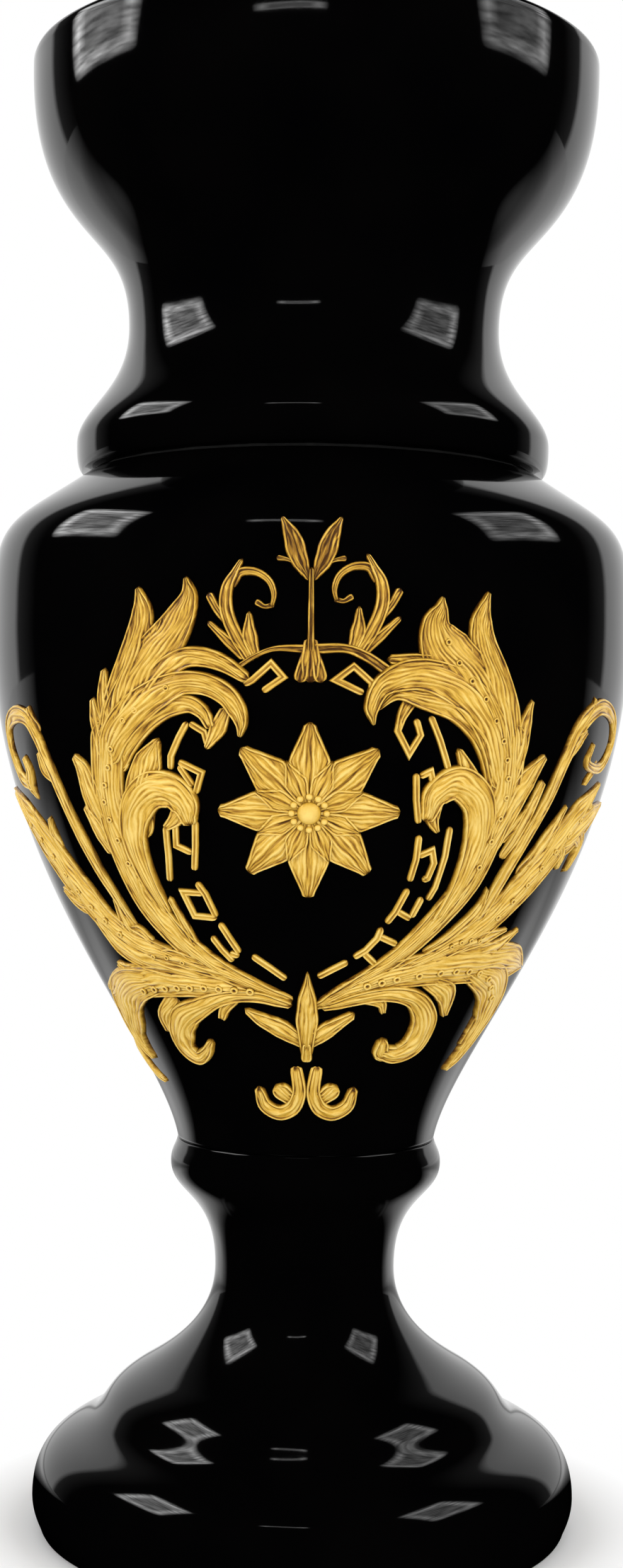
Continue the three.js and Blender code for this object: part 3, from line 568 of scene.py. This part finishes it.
KEYS_LEFT = [
    [[(10.6, 66.4), (9.2, 67), (6.2, 69.2), (4.3, 67.4), (7.6, 65.5)]],
    [[(17, 58.4), (17.5, 60.2), (20, 61.4)], [(20.4, 61.5), (22.1, 59.5), (23.9, 57), (24.2, 55.2)]],
    [[(22.6, 56.3), (18.6, 54.8), (20, 52)], [(22.6, 55.8), (20.3, 53)]],
    [[(20.7, 48.4), (21.4, 45), (22.4, 41.6)], [(24.7, 48), (25.3, 45), (22.2, 44)],
     [(26.8, 47.6), (27.4, 43.6), (28.3, 40)]],
    [[(22.4, 40), (21, 38.4), (19.4, 35.2)], [(19.4, 35.1), (24.3, 35.3), (25.8, 38.6), (21.4, 38.5)]],
    [[(18.9, 34.4), (17, 32), (15.4, 30.2)], [(21.3, 32.5), (19.4, 30.6), (17.2, 29)], [(17.8, 30.2), (15.6, 29.8)]],
    [[(12.6, 29.9), (5, 26.6)]],
]
# Punched dots along the ribs: a path, their number, and their radius in millimetres
DOTS_LEFT = [
    ([(23.2, 66.1), (28.1, 63.8), (31.9, 61.7), (34.7, 58.8), (36.9, 54.9), (38.8, 51.3), (38.2, 47.5),
      (36.5, 42.6)], 12, 1),
    ([(14, 25), (22, 25.2), (30, 25.2), (38, 24.8), (46, 24.2)], 9, 1.25),
    ([(46, 32.4), (52, 35.6), (57, 39.4), (62, 43.6), (68, 47.6)], 8, 1.05),
    ([(30, 28.8), (34, 29.4), (38, 29.4)], 3, 0.8),
]
DOTS_RIGHT = [
    ([(21.8, 72.4), (24.6, 68.8), (28.4, 65.8), (31.8, 62), (34.4, 58.4), (36, 55), (36.6, 51.4), (35.8, 47.4),
      (34.2, 42.6)], 12, 1),
    ([(14.4, 26), (21.5, 26.9), (33, 27.6), (42, 27.6), (50, 26.4), (56.4, 23.4)], 11, 1.25),
    ([(44, 35.4), (49, 39.4), (54, 43.4), (60, 47.4), (66, 51)], 8, 1.05),
    ([(33.6, 31.4), (37, 32.2), (41.4, 32)], 4, 0.8),
]


def gold_bmesh():
    """An empty mesh with room for the relief's painted light and shade, lift, leaf number and place in the combing.
    """
    bm = bmesh.new()
    bm.verts.layers.float.new("painted_relief_shade")
    bm.verts.layers.float.new("lift")
    bm.verts.layers.int.new("leaf")
    bm.verts.layers.float_vector.new("comb")
    return bm


def closed(bm):
    """Weld what meets and turn every face outwards."""
    bmesh.ops.remove_doubles(bm, verts=bm.verts, dist=1e-3)
    bmesh.ops.dissolve_degenerate(bm, edges=bm.edges, dist=1e-4)
    bmesh.ops.recalc_face_normals(bm, faces=bm.faces)
    return bm


def leaves(blades, tall=1.0, **more):
    """Leaves on one mesh, with painted shade where they pass under each other."""
    bm = gold_bmesh()
    for path, width, base in blades:
        blade(bm, path, width, tall, base=base, **more)
    darken_overlaps(bm)
    return bm


def mirrored(blades):
    """The same leaves on the other side of the middle."""
    return [([(-a, h) for a, h in path], width, base) for path, width, base in blades]


def shifted(blades, degrees, hundredths):
    return [([(a + degrees, h + hundredths) for a, h in path], width, base) for path, width, base in blades]


FACES = (("front", Matrix.Identity(4)), ("back", Matrix.Rotation(math.pi, 4, "Z")))
FLIP = Matrix.Scale(-1, 4, (1, 0, 0))


def laid(name, bm, way, node):
    """A gold piece turned into place from a mesh that is kept."""
    copy = bm.copy()
    bmesh.ops.transform(copy, matrix=way, verts=copy.verts)
    if way.is_negative:
        bmesh.ops.reverse_faces(copy, faces=copy.faces)
    gold_pieces.append(piece(name, copy, "gold", node))


def set_for(name, right, left, node):
    """A right and a left piece, both drawn to the right, set on the front and again on the back."""
    for face, turn in FACES:
        laid(f"{face}_{name}_right_gilt", right, turn, node.format(face=face, side="right"))
        laid(f"{face}_{name}_left_gilt", left, turn @ FLIP, node.format(face=face, side="left"))


def single_for(name, bm, node):
    """A middle piece set on the front and again on the back."""
    for face, turn in FACES:
        laid(f"{face}_{name}_gilt", bm, turn, node.format(face=face))


LINE_WIDTH = 2.3
LINE_H = 1.15
# Share of the way across, share of the height, and painted light and shade: bright on the two ridges, dark in the
# middle groove and at the edges
LINE_SECTION = [(0, -0.2, 0), (0.06, 0.6, 0.4), (0.14, 0.92, 0.7), (0.24, 1, 0.8), (0.36, 0.82, 0.45),
                (0.5, 0.74, 0.3), (0.64, 0.82, 0.45), (0.76, 1, 0.8), (0.86, 0.92, 0.7), (0.94, 0.6, 0.4),
                (1, -0.2, 0)]
ROUND_END = (0.04, 0.14, 0.3, 0.55, 1)


def key_line(bm, line):
    """A raised line of even width with mitred corners."""
    painted_relief_shade, comb = bm.verts.layers.float["painted_relief_shade"], bm.verts.layers.float_vector["comb"]
    across = per_degree(line[0][1] * HUNDREDTH)
    up = upward(line[0][1] * HUNDREDTH)
    at = [Vector((a * across, h * HUNDREDTH * up)) for a, h in line]
    heading = [(b - a).normalized() for a, b in zip(at, at[1:])]
    stations = []
    for i, p in enumerate(at):
        mean = (heading[max(i - 1, 0)] + heading[min(i, len(heading) - 1)]).normalized()
        reach = LINE_WIDTH / 2 / max(mean.dot(heading[min(i, len(heading) - 1)]), 0.5)
        stations.append((p, Vector((mean.y, -mean.x)) * reach))
    rows = []
    for i in range(len(at) - 1):
        long = (at[i + 1] - at[i]).length
        cap = [(r * LINE_WIDTH / 2 / long, math.sqrt(1 - (1 - r) ** 2)) for r in ROUND_END]
        first = [(i, t, wide) for t, wide in cap] if i == 0 else []
        last = [(i, 1 - t, wide) for t, wide in reversed(cap)] if i == len(at) - 2 else [(i, 1, 1)]
        rows += [*first, (i, 0.5, 1), *last]
    last_row, last_side = len(rows) + 1, len(LINE_SECTION) - 1
    made = bmesh.ops.create_grid(bm, x_segments=last_row, y_segments=last_side, size=0.5)["verts"]
    edge_of = {}
    for vert in made:
        k = round((vert.co.x + 0.5) * last_row)
        j = round((vert.co.y + 0.5) * last_side)
        end = k in (0, last_row)
        i, t, share_wide = rows[min(max(k - 1, 0), len(rows) - 1)]
        p = stations[i][0].lerp(stations[i + 1][0], t)
        reach = stations[i][1].lerp(stations[i + 1][1], t) * share_wide
        share, lift, shade = LINE_SECTION[j]
        spot = p + reach * (2 * share - 1)
        vert.co = on_body(spot.x / across, spot.y / up, SUNK if end else lift * LINE_H * share_wide)
        vert[painted_relief_shade] = 0.2 if end else shade * share_wide
        vert[comb] = ((2 * share - 1) * LINE_WIDTH / 2, k * 1.5, len(bm.verts) % GRAINS)
        if j in (0, last_side):
            edge_of[vert] = j
    close_underneath(bm, edge_of)


OVERLAP_REACH = 1.1
OVERLAP_STEP = 0.2  # how much higher the upper leaf has to stand


def tree_of(bm):
    tree = KDTree(len(bm.verts))
    bm.verts.ensure_lookup_table()
    for i, vert in enumerate(bm.verts):
        tree.insert(vert.co, i)
    tree.balance()
    return tree


def darken_overlaps(bm):
    """Painted shade: gold is coloured darker where another leaf stands over it."""
    painted_relief_shade, lift, leaf = bm.verts.layers.float["painted_relief_shade"], bm.verts.layers.float["lift"], bm.verts.layers.int["leaf"]
    tree = tree_of(bm)
    for vert in bm.verts:
        shadow = 0
        for _, i, gap in tree.find_range(vert.co, OVERLAP_REACH):
            other = bm.verts[i]
            if other[leaf] != vert[leaf] and other[lift] > vert[lift] + OVERLAP_STEP:
                shadow = max(shadow, 1 - gap / OVERLAP_REACH)
        vert[painted_relief_shade] *= 1 - min(1.3 * shadow, 1)


# Radius, rise and painted light and shade of a dot's rings: dark in the hollow, bright on the rim
DOT_RINGS = [(0.3, -0.05, 0), (0.5, 0.2, 0.4), (0.72, 0.45, 0.85), (1, 0.3, 0.6), (1.12, -0.5, 0)]
DOT_REACH = 1.3  # round a dot, in which the leaf under it is looked for
LEAF_H = 1.4  # of a leaf that isn't found


def dots(bm, path, count, size):
    """Punched dots along a path: a raised rim round a hollow, with painted shade in the hollow and a painted
    highlight on the rim, on whatever leaf is under them.
    """
    painted_relief_shade, lift = bm.verts.layers.float["painted_relief_shade"], bm.verts.layers.float["lift"]
    tree = tree_of(bm)
    for i in range(count):
        at = spine(path, i / (count - 1))
        across, up = per_degree(at.y), upward(at.y)
        under = [bm.verts[j][lift] for _, j, _ in tree.find_range(on_body(at.x, at.y, 1.6), DOT_REACH)]
        top = max(under, default=LEAF_H)
        made = bmesh.ops.create_circle(bm, cap_ends=False, segments=10, radius=1)["verts"]
        rings = [made]
        edges = list(dict.fromkeys(e for v in made for e in v.link_edges))
        for _ in DOT_RINGS[1:]:
            grown = bmesh.ops.extrude_edge_only(bm, edges=edges)["geom"]
            rings.append([g for g in grown if isinstance(g, bmesh.types.BMVert)])
            edges = [g for g in grown if isinstance(g, bmesh.types.BMEdge)]
        for ring, (radius, rise, shade) in zip(rings, DOT_RINGS):
            for vert in ring:
                x, y = vert.co.xy.normalized() * radius * size
                vert.co = on_body(at.x + x / across, at.y + y / up, top + rise)
                vert[painted_relief_shade] = shade
        for ring in (rings[0], rings[-1]):
            bmesh.ops.contextual_create(bm, geom=ring)
        bm.verts.ensure_lookup_table()


ROSETTE_AT = 112.5
PETALS = 8
BEADS = 12


def rosette():
    """Flower in the middle of the ring: two rows of petals round a beaded boss."""
    bm = gold_bmesh()
    across = per_degree(ROSETTE_AT)
    up = upward(ROSETTE_AT)

    def petal(turn, inner, outer, widths, tall, base):
        path = []
        for r in (inner, inner + (outer - inner) * 0.55, outer):
            path.append((r * math.sin(turn) / across, (ROSETTE_AT + r * math.cos(turn) / up) / HUNDREDTH))
        blade(bm, path, [w / HUNDREDTH for w in widths], tall, base=base, root=False, crease=0.35)

    for i in range(PETALS):
        petal(2 * math.pi * i / PETALS, 4, 26, (5, 13, 4.5), 1.1, 0)
    for i in range(PETALS):
        petal(2 * math.pi * (i + 0.5) / PETALS, 2, 16.5, (3, 8, 2), 1.0, 0.9)

    painted_relief_shade = bm.verts.layers.float["painted_relief_shade"]

    def bead(x, y, radius, base, tall, around):
        made = bmesh.ops.create_uvsphere(bm, u_segments=around, v_segments=around // 2, radius=radius)["verts"]
        for vert in made:
            spot = vert.co.copy()
            vert.co = on_body((x + spot.x) / across, ROSETTE_AT + (y + spot.y) / up, base + spot.z * tall)
            # painted highlight on each bead's crown and painted shade round its foot
            vert[painted_relief_shade] = 0.25 + 0.55 * max(spot.z / radius, 0)

    bead(0, 0, 3.6, 1.9, 0.55, 24)
    for i in range(BEADS):
        turn = 2 * math.pi * i / BEADS
        bead(5.2 * math.sin(turn), 5.2 * math.cos(turn), 1.15, 2.0, 0.8, 10)
    return closed(bm)


gold_pieces = []
shells = [
    piece("foot_pedestal_glazed", pedestal(), "glaze", "foot_pedestal"),
    piece("body_glazed", body(), "glaze", "body"),
    piece("neck_bowl_glazed", neck_bowl(), "glaze", "neck_bowl"),
]


def wreath(blades, rows):
    """Leaves with rows of dots along them."""
    bm = leaves(blades)
    for row in rows:
        dots(bm, *row)
    return closed(bm)


set_for("wreath", wreath([*TRUNK_RIGHT, *TOP_RIGHT, *SIDE_RIGHT], DOTS_RIGHT),
        wreath([*SIDE_LEFT, *TOP_LEFT], DOTS_LEFT), "{face}_wreath_{side}")
set_for("top_scroll", closed(leaves(TOP_SCROLL, 0.85, deep=0.05)),
        closed(leaves(shifted(TOP_SCROLL, 2.2, -0.8), 0.85, deep=0.05)), "{face}_top_scroll_{side}")
drop_scroll = closed(leaves(DROP_SCROLL))
set_for("drop_scroll", drop_scroll, drop_scroll, "{face}_drop_scroll_{side}")
finial = [*HALF_BUD, *mirrored(HALF_BUD), *BUD_STEM, *RIGHT_BASE, *mirrored(LEFT_BASE)]
single_for("finial", closed(leaves(finial, 0.8, crease=0.4, deep=0.08)), "{face}_finial")
trefoil = [*RIGHT_WING, *mirrored(LEFT_WING), *TREFOIL_STEM]
single_for("trefoil", closed(leaves(trefoil)), "{face}_trefoil")
single_for("rosette", rosette(), "{face}_rosette")


def key(lines):
    """One piece of the meander ring."""
    bm = gold_bmesh()
    for line in lines:
        key_line(bm, line)
    return closed(bm)


for number, (right, left) in enumerate(zip(KEYS_RIGHT, KEYS_LEFT), 1):
    set_for(f"key_{number}", key(right), key(left), "{face}_key_{side}_" + str(number))


# Finishes


def material(name):
    made = bpy.data.materials.new(name)
    made.use_nodes = True
    return made, made.node_tree.nodes, made.node_tree.links


def maths(nodes, links, operation, *values):
    made = nodes.new("ShaderNodeMath")
    made.operation = operation
    for socket, value in zip(made.inputs, values):
        if isinstance(value, (int, float)):
            socket.default_value = value
        else:
            links.new(value, socket)
    return made.outputs[0]


def mapped(nodes, links, value, start, stop, low=0, high=1):
    """A value from start to stop, laid out from low to high and held beyond."""
    made = nodes.new("ShaderNodeMapRange")
    for label, number in (("From Min", start), ("From Max", stop), ("To Min", low), ("To Max", high)):
        made.inputs[label].default_value = number
    links.new(value, made.inputs["Value"])
    return made.outputs["Result"]


def ranged(nodes, links, noise, low, high):
    """A noise over its usual span, laid out from low to high."""
    return mapped(nodes, links, noise, 0.3, 0.7, low, high)


def placed(nodes, links, place, **inputs):
    """A place that is moved, scaled or turned."""
    made = nodes.new("ShaderNodeMapping")
    for label, value in inputs.items():
        made.inputs[label].default_value = value
    links.new(place, made.inputs["Vector"])
    return made.outputs["Vector"]


def split(nodes, links, vector):
    made = nodes.new("ShaderNodeSeparateXYZ")
    links.new(vector, made.inputs[0])
    return made.outputs


def noise_of(nodes, links, place, scale, detail, roughness=0.5):
    made = nodes.new("ShaderNodeTexNoise")
    made.inputs["Scale"].default_value = scale
    made.inputs["Detail"].default_value = detail
    made.inputs["Roughness"].default_value = roughness
    links.new(place, made.inputs["Vector"])
    return made.outputs["Fac"]


def attribute(nodes, name):
    made = nodes.new("ShaderNodeAttribute")
    made.attribute_name = name
    return made.outputs


def mottle_group():
    """Slow or fine unevenness over the surface, as a mask."""
    group = bpy.data.node_groups.new("mottle", "ShaderNodeTree")
    group.interface.new_socket("Scale", in_out="INPUT", socket_type="NodeSocketFloat")
    group.interface.new_socket("Detail", in_out="INPUT", socket_type="NodeSocketFloat")
    group.interface.new_socket("Mask", in_out="OUTPUT", socket_type="NodeSocketFloat")
    nodes, links = group.nodes, group.links
    inputs, output = nodes.new("NodeGroupInput"), nodes.new("NodeGroupOutput")
    place = nodes.new("ShaderNodeTexCoord")
    noise = nodes.new("ShaderNodeTexNoise")
    noise.inputs["Roughness"].default_value = 0.6
    links.new(place.outputs["Object"], noise.inputs["Vector"])
    links.new(inputs.outputs["Scale"], noise.inputs["Scale"])
    links.new(inputs.outputs["Detail"], noise.inputs["Detail"])
    links.new(noise.outputs["Fac"], output.inputs["Mask"])
    return group


mottle = mottle_group()


def mottled(nodes, scale, detail):
    made = nodes.new("ShaderNodeGroup")
    made.node_tree = mottle
    made.inputs["Scale"].default_value = scale
    made.inputs["Detail"].default_value = detail
    return made.outputs["Mask"]


def ramp(nodes, links, value, *stops):
    made = nodes.new("ShaderNodeValToRGB")
    while len(made.color_ramp.elements) < len(stops):
        made.color_ramp.elements.new(0.5)
    for element, (place, colour) in zip(made.color_ramp.elements, stops):
        element.position = place
        element.color = (*colour, 1)
    links.new(value, made.inputs["Fac"])
    return made.outputs["Color"]


def bump(nodes, links, value, strength, distance):
    made = nodes.new("ShaderNodeBump")
    made.inputs["Strength"].default_value = strength
    made.inputs["Distance"].default_value = distance
    links.new(value, made.inputs["Height"])
    return made.outputs["Normal"]


def glaze_finish():
    made, nodes, links = material("black glaze")
    shader = nodes["Principled BSDF"]
    slow = mottled(nodes, 30, 2)
    fine = mottled(nodes, 900, 3)
    links.new(ramp(nodes, links, slow, (0.3, (0.0004, 0.0004, 0.0005)), (0.7, (0.0009, 0.0008, 0.0008))),
              shader.inputs["Base Color"])
    links.new(ranged(nodes, links, fine, 0.035, 0.065), shader.inputs["Roughness"])
    links.new(bump(nodes, links, slow, 0.06, 0.001), shader.inputs["Normal"])
    shader.inputs["IOR"].default_value = 1.42
    return made


def gold_finish():
    made, nodes, links = material("gilt relief")
    shader = nodes["Principled BSDF"]
    tone = mottled(nodes, 120, 4)
    speck = mottled(nodes, 1400, 3)
    along_leaf = placed(nodes, links, attribute(nodes, "comb")["Vector"], Scale=(1.5, 0.13, 1))
    strand = ranged(nodes, links, noise_of(nodes, links, along_leaf, 1, 3, 0.6), -0.5, 0.5)

    def added(value, weight, base):
        return maths(nodes, links, "MULTIPLY_ADD", value, weight, base)

    height = split(nodes, links, nodes.new("ShaderNodeTexCoord").outputs["Object"])["Z"]
    # Painted shade: gold higher up the vase is coloured darker, added to the relief's painted light and shade
    upper_half = mapped(nodes, links, height, 0.25, 0.3)
    shaded_higher_up = added(upper_half, -0.2, attribute(nodes, "painted_relief_shade")["Fac"])
    # the gilding's own grain and tone, laid over the painted shade
    grain_and_shade = added(strand, 0.55, added(tone, 0.45, shaded_higher_up))
    colour = ramp(nodes, links, grain_and_shade, (0.18, (0.08, 0.028, 0.002)), (0.42, (0.40, 0.19, 0.014)),
                  (0.7, (0.80, 0.475, 0.055)), (1.0, (1.0, 0.71, 0.19)))
    links.new(colour, shader.inputs["Base Color"])
    links.new(ranged(nodes, links, speck, 0.3, 0.45), shader.inputs["Roughness"])
    links.new(bump(nodes, links, added(strand, 1.0, speck), 0.5, 0.0003), shader.inputs["Normal"])
    shader.inputs["Metallic"].default_value = 0.2
    shader.inputs["Coat Weight"].default_value = 0.5
    shader.inputs["Coat Roughness"].default_value = 0.2
    return made


def rubber_finish():
    made, nodes, links = material("rubber")
    shader = nodes["Principled BSDF"]
    fine = mottled(nodes, 600, 3)
    links.new(ramp(nodes, links, fine, (0.3, (0.008, 0.008, 0.008)), (0.7, (0.018, 0.018, 0.017))),
              shader.inputs["Base Color"])
    links.new(ranged(nodes, links, fine, 0.65, 0.85), shader.inputs["Roughness"])
    links.new(bump(nodes, links, fine, 0.2, 0.0004), shader.inputs["Normal"])
    return made


def steel_finish():
    made, nodes, links = material("plated steel")
    shader = nodes["Principled BSDF"]
    fine = mottled(nodes, 800, 3)
    links.new(ramp(nodes, links, fine, (0.3, (0.32, 0.33, 0.34)), (0.7, (0.5, 0.51, 0.52))),
              shader.inputs["Base Color"])
    links.new(ranged(nodes, links, fine, 0.25, 0.4), shader.inputs["Roughness"])
    shader.inputs["Metallic"].default_value = 1
    return made


def dress(pieces, finish):
    for one in pieces:
        one.data.materials.clear()
        one.data.materials.append(finish)


dress(shells, glaze_finish())
dress(gold_pieces, gold_finish())
for one in gold_pieces:
    one.visible_glossy = False
seals = ["body_gasket", "deck_gasket", "seat_gasket", "neck_seal"]
fixings = ["clamp_bolt", "clamp_nut", "body_washer", "deck_washer"]
dress([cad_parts[n] for n in seals], rubber_finish())
dress([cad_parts[n] for n in fixings], steel_finish())


# Studio

PANEL_AIM = 0.3  # height that the soft boxes face
LAMP_AIM = 0.25  # height that the lamps face
LAMP_DISTANCE = 1.6
LAMP_SIZE = 0.9
AMBIENT = 0.88
BACK_IN_GLOSS = 0.88  # of the backdrop behind the vase


def grey(level):
    return (level,) * 3


def studio_object(name, bm, finish):
    mesh = bpy.data.meshes.new(name)
    bm.to_mesh(mesh)
    bm.free()
    mesh.materials.append(finish)
    made = bpy.data.objects.new(name, mesh)
    scene.collection.objects.link(made)
    return made


def glow_finish(name, strength):
    """A streaked glow with a bright frame and soft edges, seen in a first reflection only."""
    made, nodes, links = material(name)
    nodes.remove(nodes["Principled BSDF"])
    place = nodes.new("ShaderNodeTexCoord").outputs["UV"]
    parts = split(nodes, links, placed(nodes, links, place, Location=(-1, -1, 0), Scale=(2, 2, 1)))
    aside, upright = (maths(nodes, links, "ABSOLUTE", parts[axis]) for axis in ("X", "Y"))
    edge = maths(nodes, links, "SMOOTH_MAX", aside, upright, 0.3)
    framed = ramp(nodes, links, edge, (0, grey(0.45)), (0.5, grey(0.35)), (0.74, grey(1)), (1, grey(0)))
    slanted = placed(nodes, links, place, Scale=(1, 6, 1), Rotation=(0, 0, 0.5))
    streaked = ramp(nodes, links, noise_of(nodes, links, slanted, 3, 4), (0.35, grey(0.25)), (0.62, grey(1)))
    both = nodes.new("ShaderNodeMix")
    both.data_type = "RGBA"
    both.blend_type = "MULTIPLY"
    both.inputs["Factor"].default_value = 1
    links.new(framed, both.inputs["A"])
    links.new(streaked, both.inputs["B"])
    depth = nodes.new("ShaderNodeLightPath").outputs["Glossy Depth"]
    once = maths(nodes, links, "MULTIPLY", maths(nodes, links, "LESS_THAN", depth, 1.5), strength)
    light = nodes.new("ShaderNodeEmission")
    links.new(once, light.inputs["Strength"])
    links.new(both.outputs["Result"], light.inputs["Color"])
    links.new(light.outputs[0], nodes["Material Output"].inputs["Surface"])
    return made


def panel(name, azimuth, low, high, width, strength, distance):
    """A soft box that only the gloss sees, turned to the vase, azimuth from the camera's side towards +x."""
    turn = math.radians(azimuth)
    bm = bmesh.new()
    bm.loops.layers.uv.new("across")
    bmesh.ops.create_grid(bm, x_segments=1, y_segments=1, size=0.5, calc_uvs=True)
    middle = Vector((math.sin(turn) * distance, -math.cos(turn) * distance, (low + high) / 2))
    facing = (Vector((0, 0, PANEL_AIM)) - middle).to_track_quat("Z", "Y").to_matrix().to_4x4()
    shape = Matrix.Diagonal((width, high - low, 1, 1))
    bmesh.ops.transform(bm, matrix=Matrix.Translation(middle) @ facing @ shape, verts=bm.verts)
    made = studio_object(name, bm, glow_finish(name, strength))
    made.visible_camera = False
    made.visible_diffuse = False
    made.visible_shadow = False


panel("left soft box", -86, 0.53, 0.83, 0.43, 10, 0.6)
panel("right soft box", 79, 0.53, 0.87, 0.43, 5, 0.6)
panel("front bar", -9, 0.558, 0.575, 0.2, 6, 0.44)


def lamp(name, azimuth, elevation, power):
    """A plain lamp that the gloss doesn't see."""
    data = bpy.data.lights.new(name, "AREA")
    data.shape = "SQUARE"
    data.size = LAMP_SIZE
    data.energy = power
    made = bpy.data.objects.new(name, data)
    scene.collection.objects.link(made)
    turn, rise = math.radians(azimuth), math.radians(elevation)
    away = Vector((math.sin(turn) * math.cos(rise), -math.cos(turn) * math.cos(rise), math.sin(rise)))
    made.location = Vector((0, 0, LAMP_AIM)) + away * LAMP_DISTANCE
    made.rotation_mode = "QUATERNION"
    made.rotation_quaternion = away.to_track_quat("Z", "Y")
    made.visible_glossy = False


lamp("left lamp", -50, 8, 10)
lamp("right lamp", 45, 10, 10)


def backdrop_world():
    """White behind for the camera and the gloss, dark in front for the gloss, and level light for the rest."""
    world = bpy.data.worlds.new("studio")
    scene.world = world
    world.use_nodes = True
    nodes, links = world.node_tree.nodes, world.node_tree.links
    nodes.clear()
    ray = nodes.new("ShaderNodeLightPath").outputs
    way = split(nodes, links, nodes.new("ShaderNodeTexCoord").outputs["Generated"])

    def sum_of(*values):
        return maths(nodes, links, "ADD", *values)

    def product(*values):
        return maths(nodes, links, "MULTIPLY", *values)

    def largest(*values):
        return maths(nodes, links, "MAXIMUM", *values)

    dim = mapped(nodes, links, way["Y"], 0.4, 0.6, 0, 0.1)
    crisp = mapped(nodes, links, way["Y"], 0.59, 0.64, 0, BACK_IN_GLOSS)
    low = mapped(nodes, links, way["Z"], 0.75, 0.9, 1, 0)
    gloss = product(sum_of(dim, crisp), low)
    white = largest(ray["Is Camera Ray"], ray["Is Transmission Ray"])
    plain = product(maths(nodes, links, "SUBTRACT", 1, largest(white, ray["Is Glossy Ray"])), AMBIENT)
    strength = sum_of(sum_of(white, product(gloss, ray["Is Glossy Ray"])), plain)
    light = nodes.new("ShaderNodeBackground")
    light.inputs["Color"].default_value = (1, 1, 1, 1)
    links.new(strength, light.inputs["Strength"])
    out = nodes.new("ShaderNodeOutputWorld")
    links.new(light.outputs[0], out.inputs["Surface"])


backdrop_world()


def floor():
    """A pale sweep that takes the vase's shadow near it, is pure white further out and glows for the gloss."""
    finish, nodes, links = material("pale floor")
    shader = nodes["Principled BSDF"]
    shader.inputs["Base Color"].default_value = (0.965, 0.96, 0.955, 1)
    shader.inputs["Roughness"].default_value = 0.9
    shader.inputs["Specular IOR Level"].default_value = 0
    ray = nodes.new("ShaderNodeLightPath").outputs
    place = nodes.new("ShaderNodeTexCoord").outputs["Object"]

    def vector_maths(operation):
        made = nodes.new("ShaderNodeVectorMath")
        made.operation = operation
        links.new(place, made.inputs[0])
        return made.outputs

    def mixed(share, *shaders):
        made = nodes.new("ShaderNodeMixShader")
        for value, socket in zip((share, *shaders), made.inputs):
            links.new(value, socket)
        return made.outputs[0]

    far = mapped(nodes, links, vector_maths("LENGTH")["Value"], 0.098, 0.125)
    glow = nodes.new("ShaderNodeEmission")
    behind = split(nodes, links, vector_maths("NORMALIZE")["Vector"])["Y"]
    links.new(mapped(nodes, links, behind, 0.4, 0.66), glow.inputs["Strength"])
    back = mapped(nodes, links, split(nodes, links, place)["Y"], 0, 1.5)
    links.new(ramp(nodes, links, back, (0, grey(0)), (0.13, grey(1)), (0.23, grey(1)), (0.37, grey(0.5)),
                   (0.5, grey(0.5)), (0.87, grey(0.9))), glow.inputs["Color"])
    white = nodes.new("ShaderNodeEmission")
    first = mixed(maths(nodes, links, "MULTIPLY", far, ray["Is Camera Ray"]), shader.outputs[0], white.outputs[0])
    both = mixed(ray["Is Glossy Ray"], first, glow.outputs[0])
    links.new(both, nodes["Material Output"].inputs["Surface"])
    bm = bmesh.new()
    bmesh.ops.create_grid(bm, x_segments=1, y_segments=1, size=6)
    studio_object("floor", bm, finish)


floor()
scene.view_settings.view_transform = "Standard"
